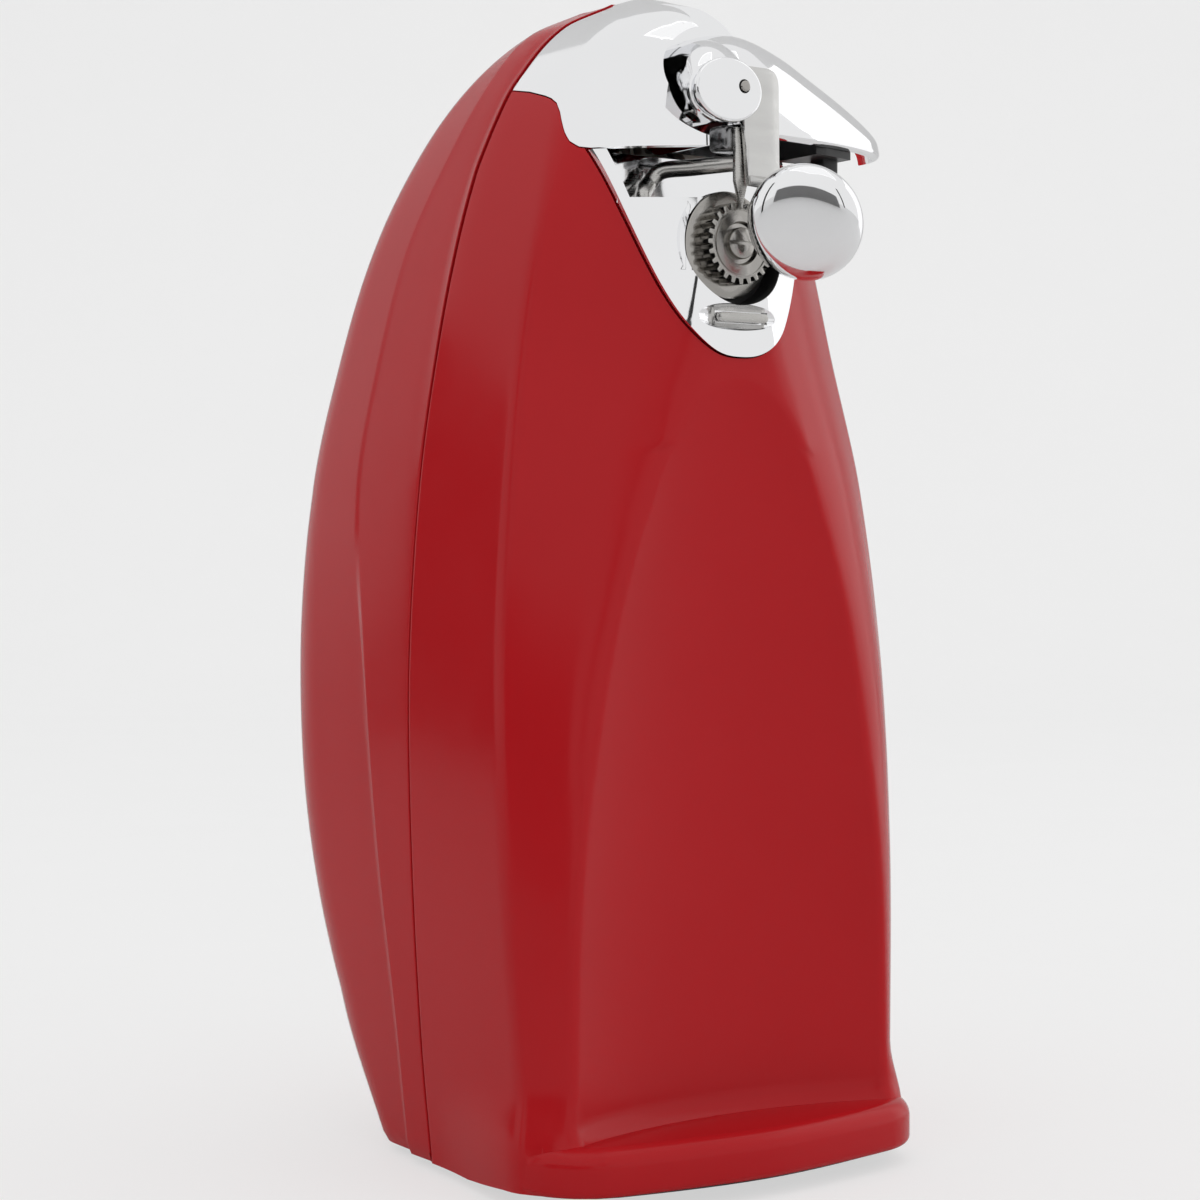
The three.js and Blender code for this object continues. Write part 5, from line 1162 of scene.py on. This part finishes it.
SLOT_MATERIAL = {
    "red_plastic": red, "chrome": chrome, "black_plastic": black, "foot_rubber": rubber,
    "white_plastic": white, "steel": steel, "iron": dark_iron, "brass": brass, "copper_wire": copper,
    "stone": stone,
}
NODE_SLOT = {part["node"]: part["material_slot"] for part in frame["record"]["subparts"]}
for name, slot in NODE_SLOT.items():
    node = frame["nodes"][name]
    node.data.materials.clear()
    node.data.materials.append(SLOT_MATERIAL[slot])

# ---------- the finished pieces
settle(build_front_housing(), "housing", red, "front_housing")
settle(build_rear_cover(), "housing", red, "rear_cover")
settle(build_chrome_cap(), "housing", chrome, "chrome_cap")
face_plate = settle(build_face_plate(), "housing", chrome, "face_plate")
# Painted shade: the walls and floor of the wheel's well get the black material.
paint_well_shade(face_plate, black)
settle(build_rest_bar(), "housing", edge_steel, "can_rest_bar")
settle(build_guide_rod(), "housing", edge_steel, "can_guide_rod")
settle(build_lever(), "lever", chrome, "lever")
settle(build_cutter(), "lever", edge_steel, "cutter_blade")
settle(refined("cutter_holder", "cutter_block", 0.9, 2), "lever", dark_iron, "cutter_holder")
settle(build_liner(), "lever", black, "lever_liner")
settle(refined("magnet_pin", "arm_pin", 0.3), "lever", steel, "magnet_pin")
settle(build_magnet_arm(), "lid_magnet_arm", satin, "magnet_arm")
settle(build_magnet_housing(), "lid_magnet_arm", chrome, "magnet_housing")
settle(build_magnet(), "lid_magnet_arm", steel, "lid_magnet")
settle(build_drive_wheel(), "drive_train", steel, "drive_wheel")
settle(build_wheel_bolt(), "drive_train", steel, "wheel_bolt")
for number in range(1, 5):
    foot = f"foot_{number}"
    settle(refined(foot, "rubber_" + foot, 0.8), "housing", rubber, foot)
settle(refined("cord_gland", "cord_entry", 0.4), "housing", black, "cord_gland")
settle(refined("knife_guide", "knife_slot_guide", 0.5), "housing", black, "knife_guide")
settle(refined("base_plate", "base_panel", 0.3), "housing", black, "base_plate")


# ---------- floor, light and camera
AZIMUTH = math.radians(35)
FORWARD = Vector((math.sin(AZIMUTH), math.cos(AZIMUTH), 0))
RIGHT = Vector((math.cos(AZIMUTH), -math.sin(AZIMUTH), 0))
CENTRE = Vector((0, 0, 0.13))
def seen_instead(made, share, kind, values, output):
    """Mixes a second shader into a material, for camera rays only."""
    links = made.node_tree.links
    own = made.node_tree.nodes["Principled BSDF"].outputs["BSDF"]
    other = add_node(made, kind, values, {}).outputs[output]
    seen = add_node(made, "LightPath", {}, {}).outputs["Is Camera Ray"]
    if share < 1:
        seen = add_node(made, "Math", {1: share}, {0: seen}, operation="MULTIPLY").outputs["Value"]
    blend = add_node(made, "MixShader", {}, {"Fac": seen, 1: own, 2: other})
    links.new(blend.outputs["Shader"], made.node_tree.nodes["Material Output"].inputs["Surface"])
    return made


def pale_paper():
    """Pale paper that looks close to white to the camera."""
    made = material("pale_paper", (0.76, 0.76, 0.76), (0.79, 0.79, 0.79), (0.7, 0.8), scale=12)
    return seen_instead(made, 0.6, "Emission", {"Color": (1, 1, 1, 1), "Strength": 1.0}, "Emission")


def unseen_paper(name, shade):
    """Grey paper that only the object sees: to the camera it is clear."""
    made = material(name, shade, tuple(s * 1.3 for s in shade), (0.8, 0.9), scale=8)
    return seen_instead(made, 1, "BsdfTransparent", {}, "BSDF")


def build_floor():
    """Pale sweep: a floor that turns up into a backdrop."""
    sweep = [(1.6 + 0.9 * math.sin(a), 0.9 - 0.9 * math.cos(a)) for a in np.linspace(0, math.pi / 2, 20)[1:]]
    run = [(-3.0, 0.0), (1.6, 0.0)] + sweep + [(2.5, 4.0)]
    count = len(run)
    faces = [(i, i + count, i + count + 1, i + 1) for i in range(count - 1)]
    mesh = bpy.data.meshes.new("floor")
    mesh.from_pydata([(x, y, z) for x in (-4.0, 4.0) for y, z in run], [], faces)
    floor = put_in_scene("floor", mesh)
    floor.rotation_euler = (0, 0, -AZIMUTH)
    mesh.shade_smooth()
    mesh.materials.append(pale_paper())


def area_light(name, place, width, height, power):
    lamp = bpy.data.lights.new(name, "AREA")
    lamp.shape = "RECTANGLE"
    lamp.size, lamp.size_y = width, height
    lamp.energy = power
    holder = put_in_scene(name, lamp)
    holder.location = place
    holder.rotation_euler = (CENTRE - place).to_track_quat("-Z", "Y").to_euler()


def card(name, place, width, height, grey):
    """Card facing the object, which the bright metal reflects."""
    direction = (CENTRE - place).to_track_quat("-Z", "Y").to_matrix()
    corners = [direction @ Vector((x * width / 2, y * height / 2, 0)) + place
               for x, y in ((-1, -1), (1, -1), (1, 1), (-1, 1))]
    mesh = bpy.data.meshes.new(name)
    mesh.from_pydata([tuple(c) for c in corners], [], [(0, 1, 2, 3)])
    holder = put_in_scene(name, mesh)
    mesh.materials.append(unseen_paper(name + "_paper", (grey, grey, grey)))


def studio(right, back, up):
    return CENTRE + RIGHT * right + FORWARD * back + Vector((0, 0, up))


def softbox(name, right, back, up, width, height, power):
    """Area light with a dark back, so that bright metal doesn't see the room through it."""
    area_light(name, studio(right, back, up), width, height, power)
    card(name + "_back", studio(right * 1.03, back * 1.03, up * 1.03), width, height, 0.03)


build_floor()
softbox("key_left", -0.95, 0.95, 0.35, 0.5, 1.5, 1.6)
softbox("key_right", 1.16, 0.47, 0.3, 1.0, 1.5, 4.9)
softbox("overhead", 0.1, -0.2, 1.4, 1.3, 1.0, 3.9)
card("grey_flag_left", studio(-1.2, 0.36, -0.05), 0.4, 1.0, 0.10)
card("grey_flag_front", studio(-0.35, -0.95, 0.03), 1.3, 0.34, 0.18)
card("dark_strip_left", studio(-0.9, -0.35, 0.2), 0.07, 0.7, 0.02)
card("dark_strip_right", studio(0.55, -1.15, 0.3), 0.08, 0.7, 0.02)

world = bpy.data.worlds.new("studio")
bpy.context.scene.world = world
world.use_nodes = True
sky = world.node_tree.nodes["Background"]
sky.inputs["Color"].default_value = (1, 1, 1, 1)
sky.inputs["Strength"].default_value = 0.84

lens = bpy.data.cameras.new("camera")
lens.lens = 79.08
lens.sensor_width = 36
lens.shift_y = -0.0408
lens.dof.use_dof = False
camera = put_in_scene("camera", lens)
camera.location = (Vector((-348.0, -479.2, 136.0)) + OFFSET) * MM
camera.rotation_euler = (math.pi / 2, 0, -AZIMUTH)
bpy.context.scene.camera = camera
bpy.context.scene.view_settings.view_transform = "Standard"
